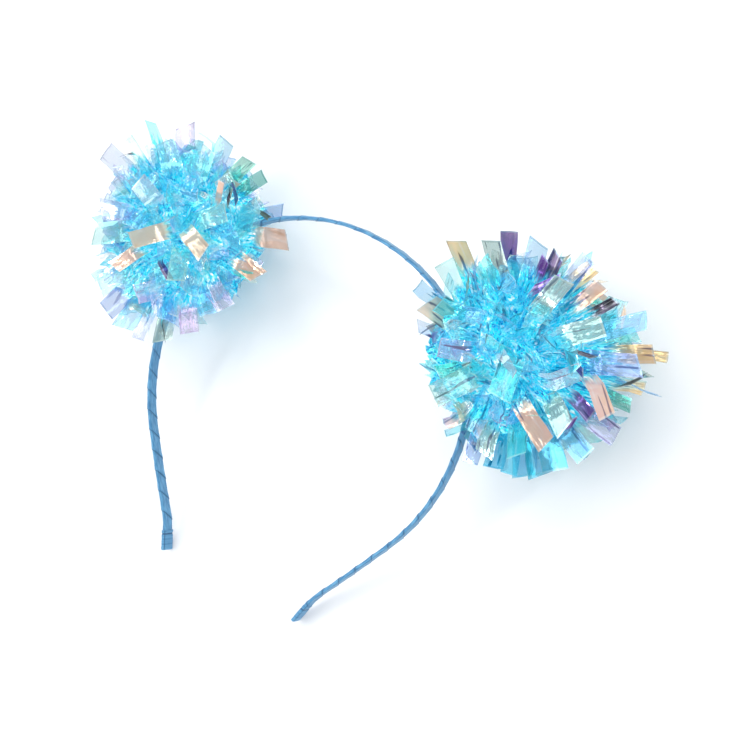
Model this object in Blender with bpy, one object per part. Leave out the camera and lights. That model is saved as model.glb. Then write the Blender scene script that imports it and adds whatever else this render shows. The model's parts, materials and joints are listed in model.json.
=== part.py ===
"""Party headband: a narrow band wound with ribbon, and a pompom of film strips tied on at each side.

Metres, +Z up. The headband lies on its side as it does on a table: both pompoms' undersides and
both tips touch the floor, so the band's own plane leans up from the tips towards the crown.
+X runs from the left pompom to the right one, and +Y from the tips towards the crown. The origin
is on the floor, under the middle of the object's box.

The band's plane has its own axes: x across, up towards the crown, and rise square to the plane.
"""
import math
import random
from typing import NamedTuple

import bmesh
import bpy
from mathutils import Matrix, Vector, noise

# Band, measured over its wound ribbon
BAND_LENGTH = 0.370
BAND_WIDTH = 0.0050
BAND_THICKNESS = 0.0012
BAND_CORNER = 0.00045
WRAP_PITCH = 0.0077
RIBBON_STEP = 0.00018

# Gap between pieces that touch, and the least room between a strip and the band
SEAT_GAP = 0.0003
STRIP_ROOM = 0.0006

# Bare tongue at each end of the band, and the folded ribbon end that is sleeved over it
RIBBON_COVER = 0.00025
CAP_LENGTH = 0.0070
CAP_END_WALL = 0.0022
CAP_SIDE_WALL = 0.0005
CAP_FACE_WALL = 0.00035
CAP_CORNER = 0.0007
CAP_ROUNDING = 0.0006
TONGUE_CORNER = 0.0003
TONGUE_LENGTH = CAP_LENGTH - CAP_END_WALL - SEAT_GAP
TONGUE_WIDTH = BAND_WIDTH - 2 * RIBBON_COVER
TONGUE_THICKNESS = BAND_THICKNESS - 2 * RIBBON_COVER
CAP_WIDTH = TONGUE_WIDTH + 2 * (SEAT_GAP + CAP_SIDE_WALL)
CAP_THICKNESS = TONGUE_THICKNESS + 2 * (SEAT_GAP + CAP_FACE_WALL)

# Each pompom: how far along the band from the crown's middle it is tied, the radius of the ball that
# its strips' ends reach, and how far outward of the band that ball's middle is
LEFT_TIE_DISTANCE = 0.0685
LEFT_BALL_RADIUS = 0.0350
LEFT_BALL_OFFSET = 0.0095
RIGHT_TIE_DISTANCE = 0.0655
RIGHT_BALL_RADIUS = 0.0365
RIGHT_BALL_OFFSET = 0.0255

# What both pompoms share, the press being how much of each ball the floor flattens
POMPOM_PRESS = 0.0045
HEART_RADIUS = 0.0180
HEART_BEHIND = 0.0050
HEART_OFFSET = HEART_RADIUS - HEART_BEHIND
HEART_LUMP = 0.0016
HEART_LUMP_SIZE = 0.0070
STRIP_COUNT = 100
STRIP_ROOT_DEPTH = 0.0070
STRIP_THICKNESS = 0.0008
STRIP_ROOT_WIDTH = 0.0032
STRIP_MIDDLE_WIDTH = 0.0062
STRIP_END_WIDTH = 0.0075
STRIP_CURL = 0.0030
STRIP_SLANT = 0.0014
STRIP_TWIST = math.radians(34)
LENGTH_SPREAD = 0.09
DIRECTION_SPREAD = 0.9

# Largest fillet, as a share of the bar's thickness
FILLET_SHARE = 0.45

# Steps in round and bent shapes
BAND_CORNER_POINTS = 2
CAP_CORNER_POINTS = 3
CHANNEL_STEPS = 8
BAND_SAMPLE = 0.0015
STRIP_SAMPLES = 8
STEER_TURN = math.radians(5)
STEER_TRIES = 14


class Stretch(NamedTuple):
    """A stretch of the half band from the crown's middle to the tip, bent to one radius."""

    name: str
    share: float  # of half the band's length
    turn: float  # degrees, positive towards the wearer


class StripSection(NamedTuple):
    """How wide a strip is at a share of its length."""

    share: float
    width: float


STRIP_SECTIONS = (
    StripSection(0.0, STRIP_ROOT_WIDTH),
    StripSection(0.55, STRIP_MIDDLE_WIDTH),
    StripSection(1.0, STRIP_END_WIDTH),
)

STRETCHES = (
    Stretch("crown", 0.17, 24.0),
    Stretch("shoulder", 0.33, 62.0),
    Stretch("side", 0.25, 36.0),
    Stretch("leg", 0.17, 2.5),
    Stretch("flared tip", 0.08, -27.5),
)


class Pompom(NamedTuple):
    """A pompom's size, and where it is tied to the band."""

    name: str
    side: int  # -1 on the left half, 1 on the right half
    distance: float
    radius: float
    ball_offset: float
    seed: int

    @property
    def spot(self):
        """The band's spot that the pompom is tied to."""
        return band_spot(self.side * self.distance)

    @property
    def heart(self):
        """The middle of the crumpled heart."""
        return self.spot.point + self.spot.outward * HEART_OFFSET

    @property
    def middle(self):
        """The middle of the ball that the strips' ends reach."""
        return self.spot.point + self.spot.outward * self.ball_offset

    @property
    def ball_up(self):
        """How far the ball's middle is towards the crown, in the band's own plane."""
        across, up, heading = half_band(self.distance)
        return up + self.ball_offset * math.cos(heading)


POMPOMS = (
    Pompom("pompom_left", -1, LEFT_TIE_DISTANCE, LEFT_BALL_RADIUS, LEFT_BALL_OFFSET, seed=11),
    Pompom("pompom_right", 1, RIGHT_TIE_DISTANCE, RIGHT_BALL_RADIUS, RIGHT_BALL_OFFSET, seed=12),
)


class Spot(NamedTuple):
    """A place on the band's centre line, with the directions along it and away from the head."""

    point: Vector
    along: Vector
    outward: Vector


def half_band(distance):
    """Across, up and heading of the right half's centre line, past the tip straight on."""
    across = up = heading = 0.0
    rest = distance
    for stretch in STRETCHES:
        length = stretch.share * BAND_LENGTH / 2
        run = min(rest, length)
        bend = math.radians(stretch.turn) * run / length
        chord = run * math.sin(bend / 2) / (bend / 2) if bend else run
        across += chord * math.cos(heading + bend / 2)
        up -= chord * math.sin(heading + bend / 2)
        heading += bend
        rest -= run
    return across + rest * math.cos(heading), up - rest * math.sin(heading), heading


def resting_lean(pompom):
    """Angle between the band's plane and the floor, with the tips and one pompom on it."""
    reach = pompom.ball_up - half_band(BAND_LENGTH / 2)[1]
    half_width = CAP_WIDTH / 2
    height = pompom.radius - POMPOM_PRESS
    return math.asin(height / math.hypot(reach, half_width)) - math.atan2(half_width, reach)


LEAN = min(resting_lean(pompom) for pompom in POMPOMS)
ACROSS = Vector((1, 0, 0))
UP = Vector((0, math.cos(LEAN), math.sin(LEAN)))
RISE = Vector((0, -math.sin(LEAN), math.cos(LEAN)))
TIP_DROP = -half_band(BAND_LENGTH / 2)[1]
CROWN = Vector((0, 0, TIP_DROP * UP.z + CAP_WIDTH / 2 * RISE.z))


def band_spot(distance):
    """The band's spot at a distance from the crown's middle, positive to the right."""
    side = 1 if distance >= 0 else -1
    across, up, heading = half_band(abs(distance))
    point = CROWN + ACROSS * (side * across) + UP * up
    along = ACROSS * math.cos(heading) - UP * (side * math.sin(heading))
    outward = ACROSS * (side * math.sin(heading)) + UP * math.cos(heading)
    return Spot(point, along, outward)


class Station(NamedTuple):
    """A point round a flat section: its place, its outward slope, and its share of the way round."""

    out: float
    rise: float
    slope_out: float
    slope_rise: float
    share: float


def flat_section(width, thickness, corner, corner_points):
    """Stations round a flat bar with rounded corners, from the inner face's lower corner."""
    corner = min(corner, FILLET_SHARE * thickness)
    corners = (
        (-1, -1, -90),
        (-1, 1, 180),
        (1, 1, 90),
        (1, -1, 0),
    )
    places = []
    for out_side, rise_side, start in corners:
        for step in range(corner_points):
            angle = math.radians(start - 90 * step / (corner_points - 1))
            slope_out, slope_rise = math.cos(angle), math.sin(angle)
            out = out_side * (thickness / 2 - corner) + corner * slope_out
            rise = rise_side * (width / 2 - corner) + corner * slope_rise
            places.append((out, rise, slope_out, slope_rise))
    lengths = [math.dist(places[k - 1][:2], places[k][:2]) for k in range(len(places))]
    whole = sum(lengths)
    stations = []
    travelled = 0.0
    for k, place in enumerate(places):
        travelled += lengths[k] if k else 0.0
        stations.append(Station(*place, travelled / whole))
    return stations


def section_point(distance, station, proud=0.0):
    """A station's place at a distance along the band, standing proud of the section."""
    spot = band_spot(distance)
    out = station.out + proud * station.slope_out
    rise = station.rise + proud * station.slope_rise
    return spot.point + spot.outward * out + RISE * rise


def add_ring(bm, distance, stations):
    """A closed ring of vertices round the band's line."""
    return [bm.verts.new(section_point(distance, station)) for station in stations]


def bridge(bm, first, second):
    """Quads between two rings that have the same number of vertices."""
    count = len(first)
    for k in range(count):
        after = (k + 1) % count
        bm.faces.new((first[k], first[after], second[after], second[k]))


def chain_rings(bm, rings):
    """Bridges each ring to the next, and closes the first and the last."""
    for first, second in zip(rings, rings[1:]):
        bridge(bm, first, second)
    bm.faces.new(rings[0])
    bm.faces.new(rings[-1])


def make_material(name, color, roughness, metallic=0.0):
    """A plain Principled material."""
    material = bpy.data.materials.new(name)
    material.use_nodes = True
    shader = material.node_tree.nodes["Principled BSDF"]
    shader.inputs["Base Color"].default_value = (*color, 1)
    shader.inputs["Roughness"].default_value = roughness
    shader.inputs["Metallic"].default_value = metallic
    return material


def finish_object(name, bm, material):
    """Turns a bmesh into a named object of triangles with its faces pointing out."""
    bmesh.ops.recalc_face_normals(bm, faces=bm.faces)
    bmesh.ops.triangulate(bm, faces=bm.faces)
    mesh = bpy.data.meshes.new(name)
    bm.to_mesh(mesh)
    bm.free()
    mesh.materials.append(material)
    piece = bpy.data.objects.new(name, mesh)
    bpy.context.collection.objects.link(piece)
    return piece


def make_band(material):
    """The wound band: each turn of ribbon has its raised edge laid over the turn before."""
    bm = bmesh.new()
    section = flat_section(BAND_WIDTH, BAND_THICKNESS, BAND_CORNER, BAND_CORNER_POINTS)
    end = BAND_LENGTH / 2 - CAP_LENGTH
    turns = math.ceil(2 * end / WRAP_PITCH) + 2
    first_turn = -end - WRAP_PITCH

    def edge_row(turn, proud):
        row = []
        for station in section:
            distance = first_turn + WRAP_PITCH * (turn + station.share)
            if abs(distance) > end - RIBBON_STEP:
                place = section_point(math.copysign(end, distance), station)
            else:
                place = section_point(distance, station, proud)
            row.append(bm.verts.new(place))
        return row

    rows = []
    for turn in range(turns + 1):
        rows.append(edge_row(turn, 0.0))
        rows.append(edge_row(turn, RIBBON_STEP))
    count = len(section)
    for r in range(len(rows) - 1):
        for k in range(count):
            if k < count - 1:
                corners = (rows[r][k], rows[r][k + 1], rows[r + 1][k + 1], rows[r + 1][k])
            elif r + 3 < len(rows):
                corners = (rows[r][k], rows[r + 2][0], rows[r + 3][0], rows[r + 1][k])
            else:
                continue
            bm.faces.new(corners)
    bmesh.ops.remove_doubles(bm, verts=bm.verts, dist=1e-7)
    tongue = flat_section(TONGUE_WIDTH, TONGUE_THICKNESS, TONGUE_CORNER, BAND_CORNER_POINTS)
    for side in (-1, 1):
        mouth = [nearest_vertex(bm, section_point(side * end, station)) for station in section]
        root = add_ring(bm, side * end, tongue)
        tip = add_ring(bm, side * (end + TONGUE_LENGTH), tongue)
        bridge(bm, mouth, root)
        bridge(bm, root, tip)
        bm.faces.new(tip)
    drop_loose(bm)
    return finish_object("wrapped_band", bm, material)


def nearest_vertex(bm, place):
    """The mesh's vertex nearest to a place."""
    return min(bm.verts, key=lambda vertex: (vertex.co - place).length_squared)


def drop_loose(bm):
    """Removes vertices and edges that carry no face."""
    bmesh.ops.delete(bm, geom=[edge for edge in bm.edges if not edge.link_faces], context="EDGES")
    bmesh.ops.delete(bm, geom=[vertex for vertex in bm.verts if not vertex.link_faces], context="VERTS")


def make_cap(name, side, material):
    """A folded ribbon end: a curved sleeve with a pocket that takes the band's tongue."""
    bm = bmesh.new()
    tip = BAND_LENGTH / 2
    mouth = tip - CAP_LENGTH + SEAT_GAP
    pocket_end = tip - CAP_END_WALL
    pocket_width = TONGUE_WIDTH + 2 * SEAT_GAP
    pocket_thickness = TONGUE_THICKNESS + 2 * SEAT_GAP
    end_width = CAP_WIDTH - 2 * CAP_ROUNDING
    end_thickness = CAP_THICKNESS - CAP_ROUNDING
    pocket = flat_section(pocket_width, pocket_thickness, TONGUE_CORNER, CAP_CORNER_POINTS)
    outside = flat_section(CAP_WIDTH, CAP_THICKNESS, CAP_CORNER, CAP_CORNER_POINTS)
    rounded = flat_section(end_width, end_thickness, CAP_CORNER, CAP_CORNER_POINTS)
    pocket_middle = (mouth + pocket_end) / 2
    outside_middle = (mouth + tip - CAP_ROUNDING) / 2
    rings = [add_ring(bm, side * distance, pocket) for distance in (pocket_end, pocket_middle, mouth)]
    rings += [add_ring(bm, side * distance, outside) for distance in (mouth, outside_middle, tip - CAP_ROUNDING)]
    rings.append(add_ring(bm, side * tip, rounded))
    chain_rings(bm, rings)
    return finish_object(name, bm, material)


def spread_directions(count, jitter):
    """Directions spread evenly over a ball, each nudged a little."""
    golden = math.pi * (3 - math.sqrt(5))
    nudge = DIRECTION_SPREAD / math.sqrt(count)
    for k in range(count):
        height = 1 - 2 * (k + 0.5) / count
        ring = math.sqrt(1 - height * height)
        base = Vector((ring * math.cos(golden * k), ring * math.sin(golden * k), height))
        yield (base + Vector([jitter.uniform(-nudge, nudge) for _ in range(3)])).normalized()


def reach_of_ball(pompom, direction):
    """Distance from the heart's middle to the pompom's ball."""
    shift = pompom.heart - pompom.middle
    ahead = shift.dot(direction)
    return -ahead + math.sqrt(ahead * ahead - shift.length_squared + pompom.radius**2)


def clears_band(pompom, direction, length, band):
    """Whether a strip in this direction passes the band with room to spare, outside the heart."""
    for step in range(STRIP_SAMPLES + 1):
        reach = HEART_RADIUS + (length - HEART_RADIUS) * step / STRIP_SAMPLES
        place = pompom.heart + direction * reach
        half_strip = STRIP_ROOT_WIDTH / 2 + (STRIP_END_WIDTH - STRIP_ROOT_WIDTH) / 2 * reach / length
        room = half_strip + RIBBON_STEP + STRIP_ROOM
        for spot in band:
            away = place - spot.point
            if abs(away.dot(spot.along)) > BAND_SAMPLE + half_strip:
                continue
            beside = abs(away.dot(RISE)) - BAND_WIDTH / 2
            over = abs(away.dot(spot.outward)) - BAND_THICKNESS / 2
            if beside < room and over < room:
                return False
    return True


def steered(pompom, direction, length, band):
    """The direction, turned out of the band's plane until the strip clears the band."""
    side = 1 if direction.dot(RISE) >= 0 else -1
    for _ in range(STEER_TRIES):
        if clears_band(pompom, direction, length, band):
            return direction
        axis = direction.cross(RISE * side)
        direction = Matrix.Rotation(STEER_TURN, 3, axis.normalized()) @ direction
    return None


def floor_reach(pompom, direction, length):
    """The length that a strip has where the floor stops it."""
    if direction.z >= 0:
        return length
    return min(length, pompom.heart.z / -direction.z)


def add_strip(bm, pompom, direction, length, chance):
    """One strip: narrow where it leaves the heart, wide and cut square at its end, slightly curled."""
    start = HEART_RADIUS - STRIP_ROOT_DEPTH
    turned = Matrix.Rotation(chance.uniform(0, 2 * math.pi), 3, direction)
    side = turned @ direction.orthogonal().normalized()
    twist = chance.uniform(-STRIP_TWIST, STRIP_TWIST)
    curl = chance.uniform(-STRIP_CURL, STRIP_CURL)
    slant = chance.uniform(-STRIP_SLANT, STRIP_SLANT)
    rings = []
    for share, width in STRIP_SECTIONS:
        reach = start + (length - start) * share
        across = Matrix.Rotation(twist * share, 3, direction) @ side
        face = direction.cross(across)
        middle = pompom.heart + direction * reach + face * (curl * share * share)
        ring = []
        for across_side, face_side in ((-1, -1), (1, -1), (1, 1), (-1, 1)):
            place = middle + across * (across_side * width / 2) + face * (face_side * STRIP_THICKNESS / 2)
            place += direction * (slant * across_side * share)
            place.z = max(place.z, 0.0)
            ring.append(bm.verts.new(place))
        rings.append(ring)
    chain_rings(bm, rings)


def add_helper(name, bm):
    """A shape that only cuts or joins, left out of the model."""
    helper = finish_object(name, bm, bpy.data.materials.new(name))
    helper.hide_render = True
    helper.display_type = "WIRE"
    return helper


def make_strips(pompom):
    """All the strips of a pompom as one helper shape."""
    chance = random.Random(pompom.seed)
    start = pompom.distance - 2 * pompom.radius
    count = math.ceil(4 * pompom.radius / BAND_SAMPLE)
    band = [band_spot(pompom.side * (start + BAND_SAMPLE * k)) for k in range(count)]
    bm = bmesh.new()
    for direction in spread_directions(STRIP_COUNT, chance):
        length = reach_of_ball(pompom, direction) * chance.uniform(1 - LENGTH_SPREAD, 1 + LENGTH_SPREAD)
        direction = steered(pompom, direction, length, band)
        if direction is not None:
            add_strip(bm, pompom, direction, floor_reach(pompom, direction, length), chance)
    return add_helper(pompom.name + "_strips", bm)


def make_channel(pompom):
    """The way through the heart for the band, with the seat gap all round."""
    bm = bmesh.new()
    room = 2 * (RIBBON_STEP + SEAT_GAP)
    section = flat_section(BAND_WIDTH + room, BAND_THICKNESS + room, BAND_CORNER, BAND_CORNER_POINTS)
    half = HEART_RADIUS + HEART_LUMP
    rings = []
    for step in range(CHANNEL_STEPS + 1):
        distance = pompom.distance - half + 2 * half * step / CHANNEL_STEPS
        rings.append(add_ring(bm, pompom.side * distance, section))
    chain_rings(bm, rings)
    return add_helper(pompom.name + "_channel", bm)


def join_shape(piece, helper, operation):
    """Adds or cuts a helper shape."""
    modifier = piece.modifiers.new(helper.name, "BOOLEAN")
    modifier.operation = operation
    modifier.solver = "EXACT"
    modifier.use_self = operation == "UNION"
    modifier.object = helper


def make_pompom(pompom, material):
    """A lumpy heart tied round the band, with all its strips grown together with it."""
    bm = bmesh.new()
    bmesh.ops.create_icosphere(bm, subdivisions=3, radius=HEART_RADIUS)
    for vertex in bm.verts:
        where = vertex.co / HEART_LUMP_SIZE + Vector((pompom.seed, 0, 0))
        vertex.co += vertex.co.normalized() * HEART_LUMP * noise.noise(where)
        vertex.co += pompom.heart
    piece = finish_object(pompom.name, bm, material)
    join_shape(piece, make_strips(pompom), "UNION")
    join_shape(piece, make_channel(pompom), "DIFFERENCE")
    return piece


def centre_on_floor(pieces):
    """Moves everything sideways so that the origin is under the middle of the object's box."""
    depsgraph = bpy.context.evaluated_depsgraph_get()
    places = []
    for piece in pieces:
        places += [piece.matrix_world @ vertex.co for vertex in piece.evaluated_get(depsgraph).data.vertices]
    middle = [(min(p[axis] for p in places) + max(p[axis] for p in places)) / 2 for axis in (0, 1)]
    for thing in bpy.context.collection.objects:
        thing.location -= Vector((*middle, 0))


def main():
    """Clears the scene and builds the headband."""
    for thing in list(bpy.data.objects):
        bpy.data.objects.remove(thing)
    ribbon = make_material("blue_ribbon", (0.10, 0.35, 0.62), 0.6)
    film = make_material("blue_film", (0.12, 0.60, 0.90), 0.25)
    pieces = [
        make_band(ribbon),
        make_cap("end_cap_left", -1, ribbon),
        make_cap("end_cap_right", 1, ribbon),
    ]
    pieces += [make_pompom(pompom, film) for pompom in POMPOMS]
    centre_on_floor(pieces)


main()
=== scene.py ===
"""Party headband, dressed: wound ribbon, folded ribbon ends and two pompoms of tinted film strips.

Metres, +Z up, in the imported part's own frame. The headband lies on its side on the floor, so the band's
plane has axes of its own: across, up towards the crown, and rise square to the plane.
"""

import json
import logging
import math
import random
from dataclasses import dataclass
from enum import Enum
from typing import Any, ClassVar, Iterable, Optional

import bmesh
import bpy
import numpy as np
from mathutils import Matrix, Vector, noise


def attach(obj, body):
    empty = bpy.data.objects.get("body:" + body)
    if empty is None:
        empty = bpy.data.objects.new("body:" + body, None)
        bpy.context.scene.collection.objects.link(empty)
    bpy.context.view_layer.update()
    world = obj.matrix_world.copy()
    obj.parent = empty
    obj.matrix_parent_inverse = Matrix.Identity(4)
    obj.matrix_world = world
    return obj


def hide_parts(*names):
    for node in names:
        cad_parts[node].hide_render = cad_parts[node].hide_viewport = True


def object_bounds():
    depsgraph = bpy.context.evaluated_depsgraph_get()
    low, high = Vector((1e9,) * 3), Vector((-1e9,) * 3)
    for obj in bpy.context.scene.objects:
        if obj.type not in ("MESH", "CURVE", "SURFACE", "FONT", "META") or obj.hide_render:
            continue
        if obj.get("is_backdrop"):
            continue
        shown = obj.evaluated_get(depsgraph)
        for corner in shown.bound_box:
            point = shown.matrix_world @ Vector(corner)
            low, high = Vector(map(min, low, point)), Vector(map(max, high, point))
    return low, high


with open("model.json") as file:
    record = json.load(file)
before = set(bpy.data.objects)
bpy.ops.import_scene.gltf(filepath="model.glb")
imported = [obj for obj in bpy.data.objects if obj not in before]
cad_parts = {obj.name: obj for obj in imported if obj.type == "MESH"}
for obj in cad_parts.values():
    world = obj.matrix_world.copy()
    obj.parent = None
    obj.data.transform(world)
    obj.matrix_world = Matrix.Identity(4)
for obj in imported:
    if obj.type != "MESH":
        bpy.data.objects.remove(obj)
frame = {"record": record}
cad_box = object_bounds()

log = logging.getLogger("headband")
MM = 0.001
TINY = 1e-7
Rgb = tuple[int, int, int]
Range = tuple[float, float]
Socket = bpy.types.NodeSocket


def linear(colour: Rgb, alpha: float = 1.0) -> tuple[float, float, float, float]:
    """Turns a screen colour into the linear one that a shader takes.

    Args:
        colour: Red, green and blue from 0 to 255.
        alpha: The fourth value.

    Returns:
        Red, green, blue and alpha from 0 to 1.
    """
    shares = [value / 255 for value in colour]
    parts = [s / 12.92 if s <= 0.04045 else ((s + 0.055) / 1.055) ** 2.4 for s in shares]
    return (*parts, alpha)


def linked(name: str, data: bpy.types.ID) -> bpy.types.Object:
    """Puts a mesh, curve, light or camera into the scene.

    Args:
        name: The new object's name.
        data: What it holds.

    Returns:
        The object, at the origin.
    """
    made = bpy.data.objects.new(name, data)
    bpy.context.collection.objects.link(made)
    return made


def finished(name: str, bm: bmesh.types.BMesh) -> bpy.types.Mesh:
    """Turns a mesh under construction into a plain one.

    Args:
        name: The new mesh's name.
        bm: The mesh under construction, which is freed.

    Returns:
        The plain mesh.
    """
    mesh = bpy.data.meshes.new(name)
    bm.to_mesh(mesh)
    bm.free()
    return mesh


def evaluated(source: bpy.types.Object, modifier: bpy.types.Modifier) -> bpy.types.Mesh:
    """Keeps what a modifier makes as a plain mesh, and removes the modifier.

    Args:
        source: The object that has the modifier.
        modifier: The modifier, with its inputs set.

    Returns:
        The mesh that the modifier made.
    """
    bpy.context.view_layer.update()
    deps = bpy.context.evaluated_depsgraph_get()
    mesh = bpy.data.meshes.new_from_object(source.evaluated_get(deps), depsgraph=deps)
    source.modifiers.remove(modifier)
    return mesh


def fix_normals(mesh: bpy.types.Mesh) -> None:
    """Makes a closed mesh's faces point out.

    Args:
        mesh: The mesh, which is changed.
    """
    bm = bmesh.new()
    bm.from_mesh(mesh)
    bmesh.ops.dissolve_degenerate(bm, edges=bm.edges, dist=TINY)
    bmesh.ops.recalc_face_normals(bm, faces=bm.faces)
    bm.to_mesh(mesh)
    bm.free()


@dataclass(frozen=True)
class Stretch:
    """A stretch of the half band from the crown's middle to the tip, bent to one radius."""

    name: str
    share: float
    turn: float


@dataclass(frozen=True)
class Spot:
    """A place on the band's middle line, with the directions along it and away from the head."""

    point: Vector
    along: Vector
    outward: Vector


@dataclass(frozen=True)
class BandLine:
    """The band's middle line: five arcs on each half, lying on a plane that leans up to the crown."""

    crown: Vector
    lean: float
    length: float = 0.370
    stretches: ClassVar[tuple[Stretch, ...]] = (
        Stretch("crown", 0.17, 24.0),
        Stretch("shoulder", 0.33, 62.0),
        Stretch("side", 0.25, 36.0),
        Stretch("leg", 0.17, 2.5),
        Stretch("flared tip", 0.08, -27.5),
    )
    across: ClassVar[Vector] = Vector((1, 0, 0))

    @property
    def up(self) -> Vector:
        """The direction in the band's plane from the tips to the crown."""
        return Vector((0, math.cos(self.lean), math.sin(self.lean)))

    @property
    def rise(self) -> Vector:
        """The direction square to the band's plane."""
        return Vector((0, -math.sin(self.lean), math.cos(self.lean)))

    @classmethod
    def from_record(cls, record: dict[str, Any]) -> "BandLine":
        """Finds the line's place from the mounts on the band's two tips.

        Args:
            record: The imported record.

        Returns:
            The line, in the row's frame.
        """
        mounts = {mount["name"]: mount for mount in record["mounts"]}
        left, right = mounts["left_tip_end"], mounts["right_tip_end"]
        middle = (Vector(left["pos_m"]) + Vector(right["pos_m"])) / 2
        lean = math.atan2(-right["axis"][2], -right["axis"][1])
        line = cls(Vector(), lean)
        return cls(middle - line.up * line.half(line.length / 2)[1], lean)

    def half(self, distance: float) -> tuple[float, float, float]:
        """Follows the right half's arcs.

        Args:
            distance: Length along the line from the crown's middle.

        Returns:
            How far across and up the place is, and the line's heading in radians.
        """
        across = up = heading = 0.0
        rest = distance
        for stretch in self.stretches:
            length = stretch.share * self.length / 2
            run = min(rest, length)
            bend = math.radians(stretch.turn) * run / length
            chord = run * math.sin(bend / 2) / (bend / 2) if bend else run
            across += chord * math.cos(heading + bend / 2)
            up -= chord * math.sin(heading + bend / 2)
            heading += bend
            rest -= run
        return across + rest * math.cos(heading), up - rest * math.sin(heading), heading

    def spot(self, distance: float) -> Spot:
        """Finds a place on the whole line.

        Args:
            distance: Length from the crown's middle, positive to the right.

        Returns:
            The place and its directions.
        """
        side = 1 if distance >= 0 else -1
        across, up, heading = self.half(abs(distance))
        point = self.crown + self.across * (side * across) + self.up * up
        along = self.across * math.cos(heading) - self.up * (side * math.sin(heading))
        outward = self.across * (side * math.sin(heading)) + self.up * math.cos(heading)
        return Spot(point, along, outward)


@dataclass(frozen=True)
class PhotoView:
    """The photograph's camera, fitted to the band: angles and places in the band's own axes."""

    line: BandLine
    turn: float = math.radians(24)
    tilt: float = math.radians(8)
    roll: float = math.radians(20.7)
    aim_across: float = 24.96 * MM
    aim_up: float = -45.16 * MM
    distance: float = 506.9 * MM
    focal_pixels: float = 1445
    picture: int = 750
    sensor: float = 36
    nearest: float = 10 * MM

    @property
    def back(self) -> Vector:
        """The direction from the headband to the camera.

        Returns:
            A direction of length 1, worked out from the turn and the tilt.
        """
        across = math.sin(self.turn) * math.cos(self.tilt)
        rise = math.cos(self.turn) * math.cos(self.tilt)
        return self.line.across * across + self.line.up * math.sin(self.tilt) + self.line.rise * rise

    @property
    def eye(self) -> Vector:
        """Where the camera stands."""
        aim = self.line.crown + self.line.across * self.aim_across + self.line.up * self.aim_up
        return aim + self.back * self.distance

    @property
    def axes(self) -> tuple[Vector, Vector]:
        """The picture's directions to the right and up.

        Returns:
            Both directions, turned by the roll.
        """
        level = self.line.up.cross(self.back).normalized()
        plumb = self.back.cross(level)
        cos, sin = math.cos(self.roll), math.sin(self.roll)
        return level * cos + plumb * sin, plumb * cos - level * sin

    def place(self) -> bpy.types.Object:
        """Makes the camera the scene's own.

        Returns:
            The camera.
        """
        right, up = self.axes
        data = bpy.data.cameras.new("photo_view")
        data.sensor_width = self.sensor
        data.lens = self.focal_pixels / self.picture * self.sensor
        data.clip_start = self.nearest
        camera = linked("photo_view", data)
        turn = Matrix((right, up, self.back)).transposed().to_4x4()
        camera.matrix_world = Matrix.Translation(self.eye) @ turn
        bpy.context.scene.camera = camera
        return camera

    def meet(self, x: float, y: float, middle: Vector, radius: float) -> Vector:
        """Finds where the line of sight through a picture point first meets a ball.

        Args:
            x: Pixels from the picture's left edge.
            y: Pixels from its top edge.
            middle: The ball's middle.
            radius: The ball's radius.

        Returns:
            The meeting point, or where the line passes closest to the ball's middle.
        """
        right, up = self.axes
        half = self.picture / 2
        ray = (right * (x - half) + up * (half - y) - self.back * self.focal_pixels).normalized()
        ahead = (middle - self.eye).dot(ray)
        miss = (self.eye + ray * ahead - middle).length
        return self.eye + ray * (ahead - math.sqrt(max(0.0, radius * radius - miss * miss)))


class Graph:
    """A node tree under construction, with short ways to add nodes and join them."""

    def __init__(self, tree: bpy.types.NodeTree) -> None:
        """Keeps the tree to add to."""
        self.tree = tree

    def add(self, kind: str, inputs: Optional[dict[Any, Any]] = None, **settings: Any) -> bpy.types.Node:
        """Adds a node.

        Args:
            kind: The node's type.
            inputs: Values or sockets, by the input's name or number.
            settings: The node's own properties.

        Returns:
            The new node.
        """
        node = self.tree.nodes.new(kind)
        for name, value in settings.items():
            setattr(node, name, value)
        for key, value in (inputs or {}).items():
            self.feed(node.inputs[key], value)
        return node

    def feed(self, socket: Socket, value: Any) -> None:
        """Joins a socket to another one, or sets its value.

        Args:
            socket: The input.
            value: What goes into it, a value or another node's output.
        """
        if isinstance(value, Socket):
            self.tree.links.new(value, socket)
        else:
            socket.default_value = value

    def math(self, operation: str, *values: Any) -> Socket:
        """Works on numbers.

        Args:
            operation: Blender's name for it, such as MULTIPLY.
            values: Numbers or sockets.

        Returns:
            The result's socket.
        """
        return self.add("ShaderNodeMath", dict(enumerate(values)), operation=operation).outputs[0]

    def vector(self, operation: str, *values: Any) -> Socket:
        """Works on vectors.

        Args:
            operation: Blender's name for it, such as CROSS_PRODUCT.
            values: Vectors or sockets.

        Returns:
            The result's socket.
        """
        return self.add("ShaderNodeVectorMath", dict(enumerate(values)), operation=operation).outputs[0]

    def scaled(self, vector: Any, factor: Any) -> Socket:
        """Multiplies a vector by a number."""
        node = self.add("ShaderNodeVectorMath", {0: vector, "Scale": factor}, operation="SCALE")
        return node.outputs[0]

    def total(self, *vectors: Any) -> Socket:
        """Adds up vectors.

        Args:
            vectors: Two or more vectors or sockets.

        Returns:
            The sum's socket.
        """
        result = vectors[0]
        for vector in vectors[1:]:
            result = self.vector("ADD", result, vector)
        return result

    def between(self, value: Any, low: Any, high: Any, start: Any = 0.0, end: Any = 1.0) -> Socket:
        """Eases from start to end as a value goes from low to high.

        Args:
            value: What is followed.
            low: Where the change starts.
            high: Where it ends.
            start: The result up to low.
            end: The result from high on.

        Returns:
            The result's socket.
        """
        inputs = {0: value, 1: low, 2: high, 3: start, 4: end}
        return self.add("ShaderNodeMapRange", inputs, interpolation_type="SMOOTHSTEP").outputs[0]


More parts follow.
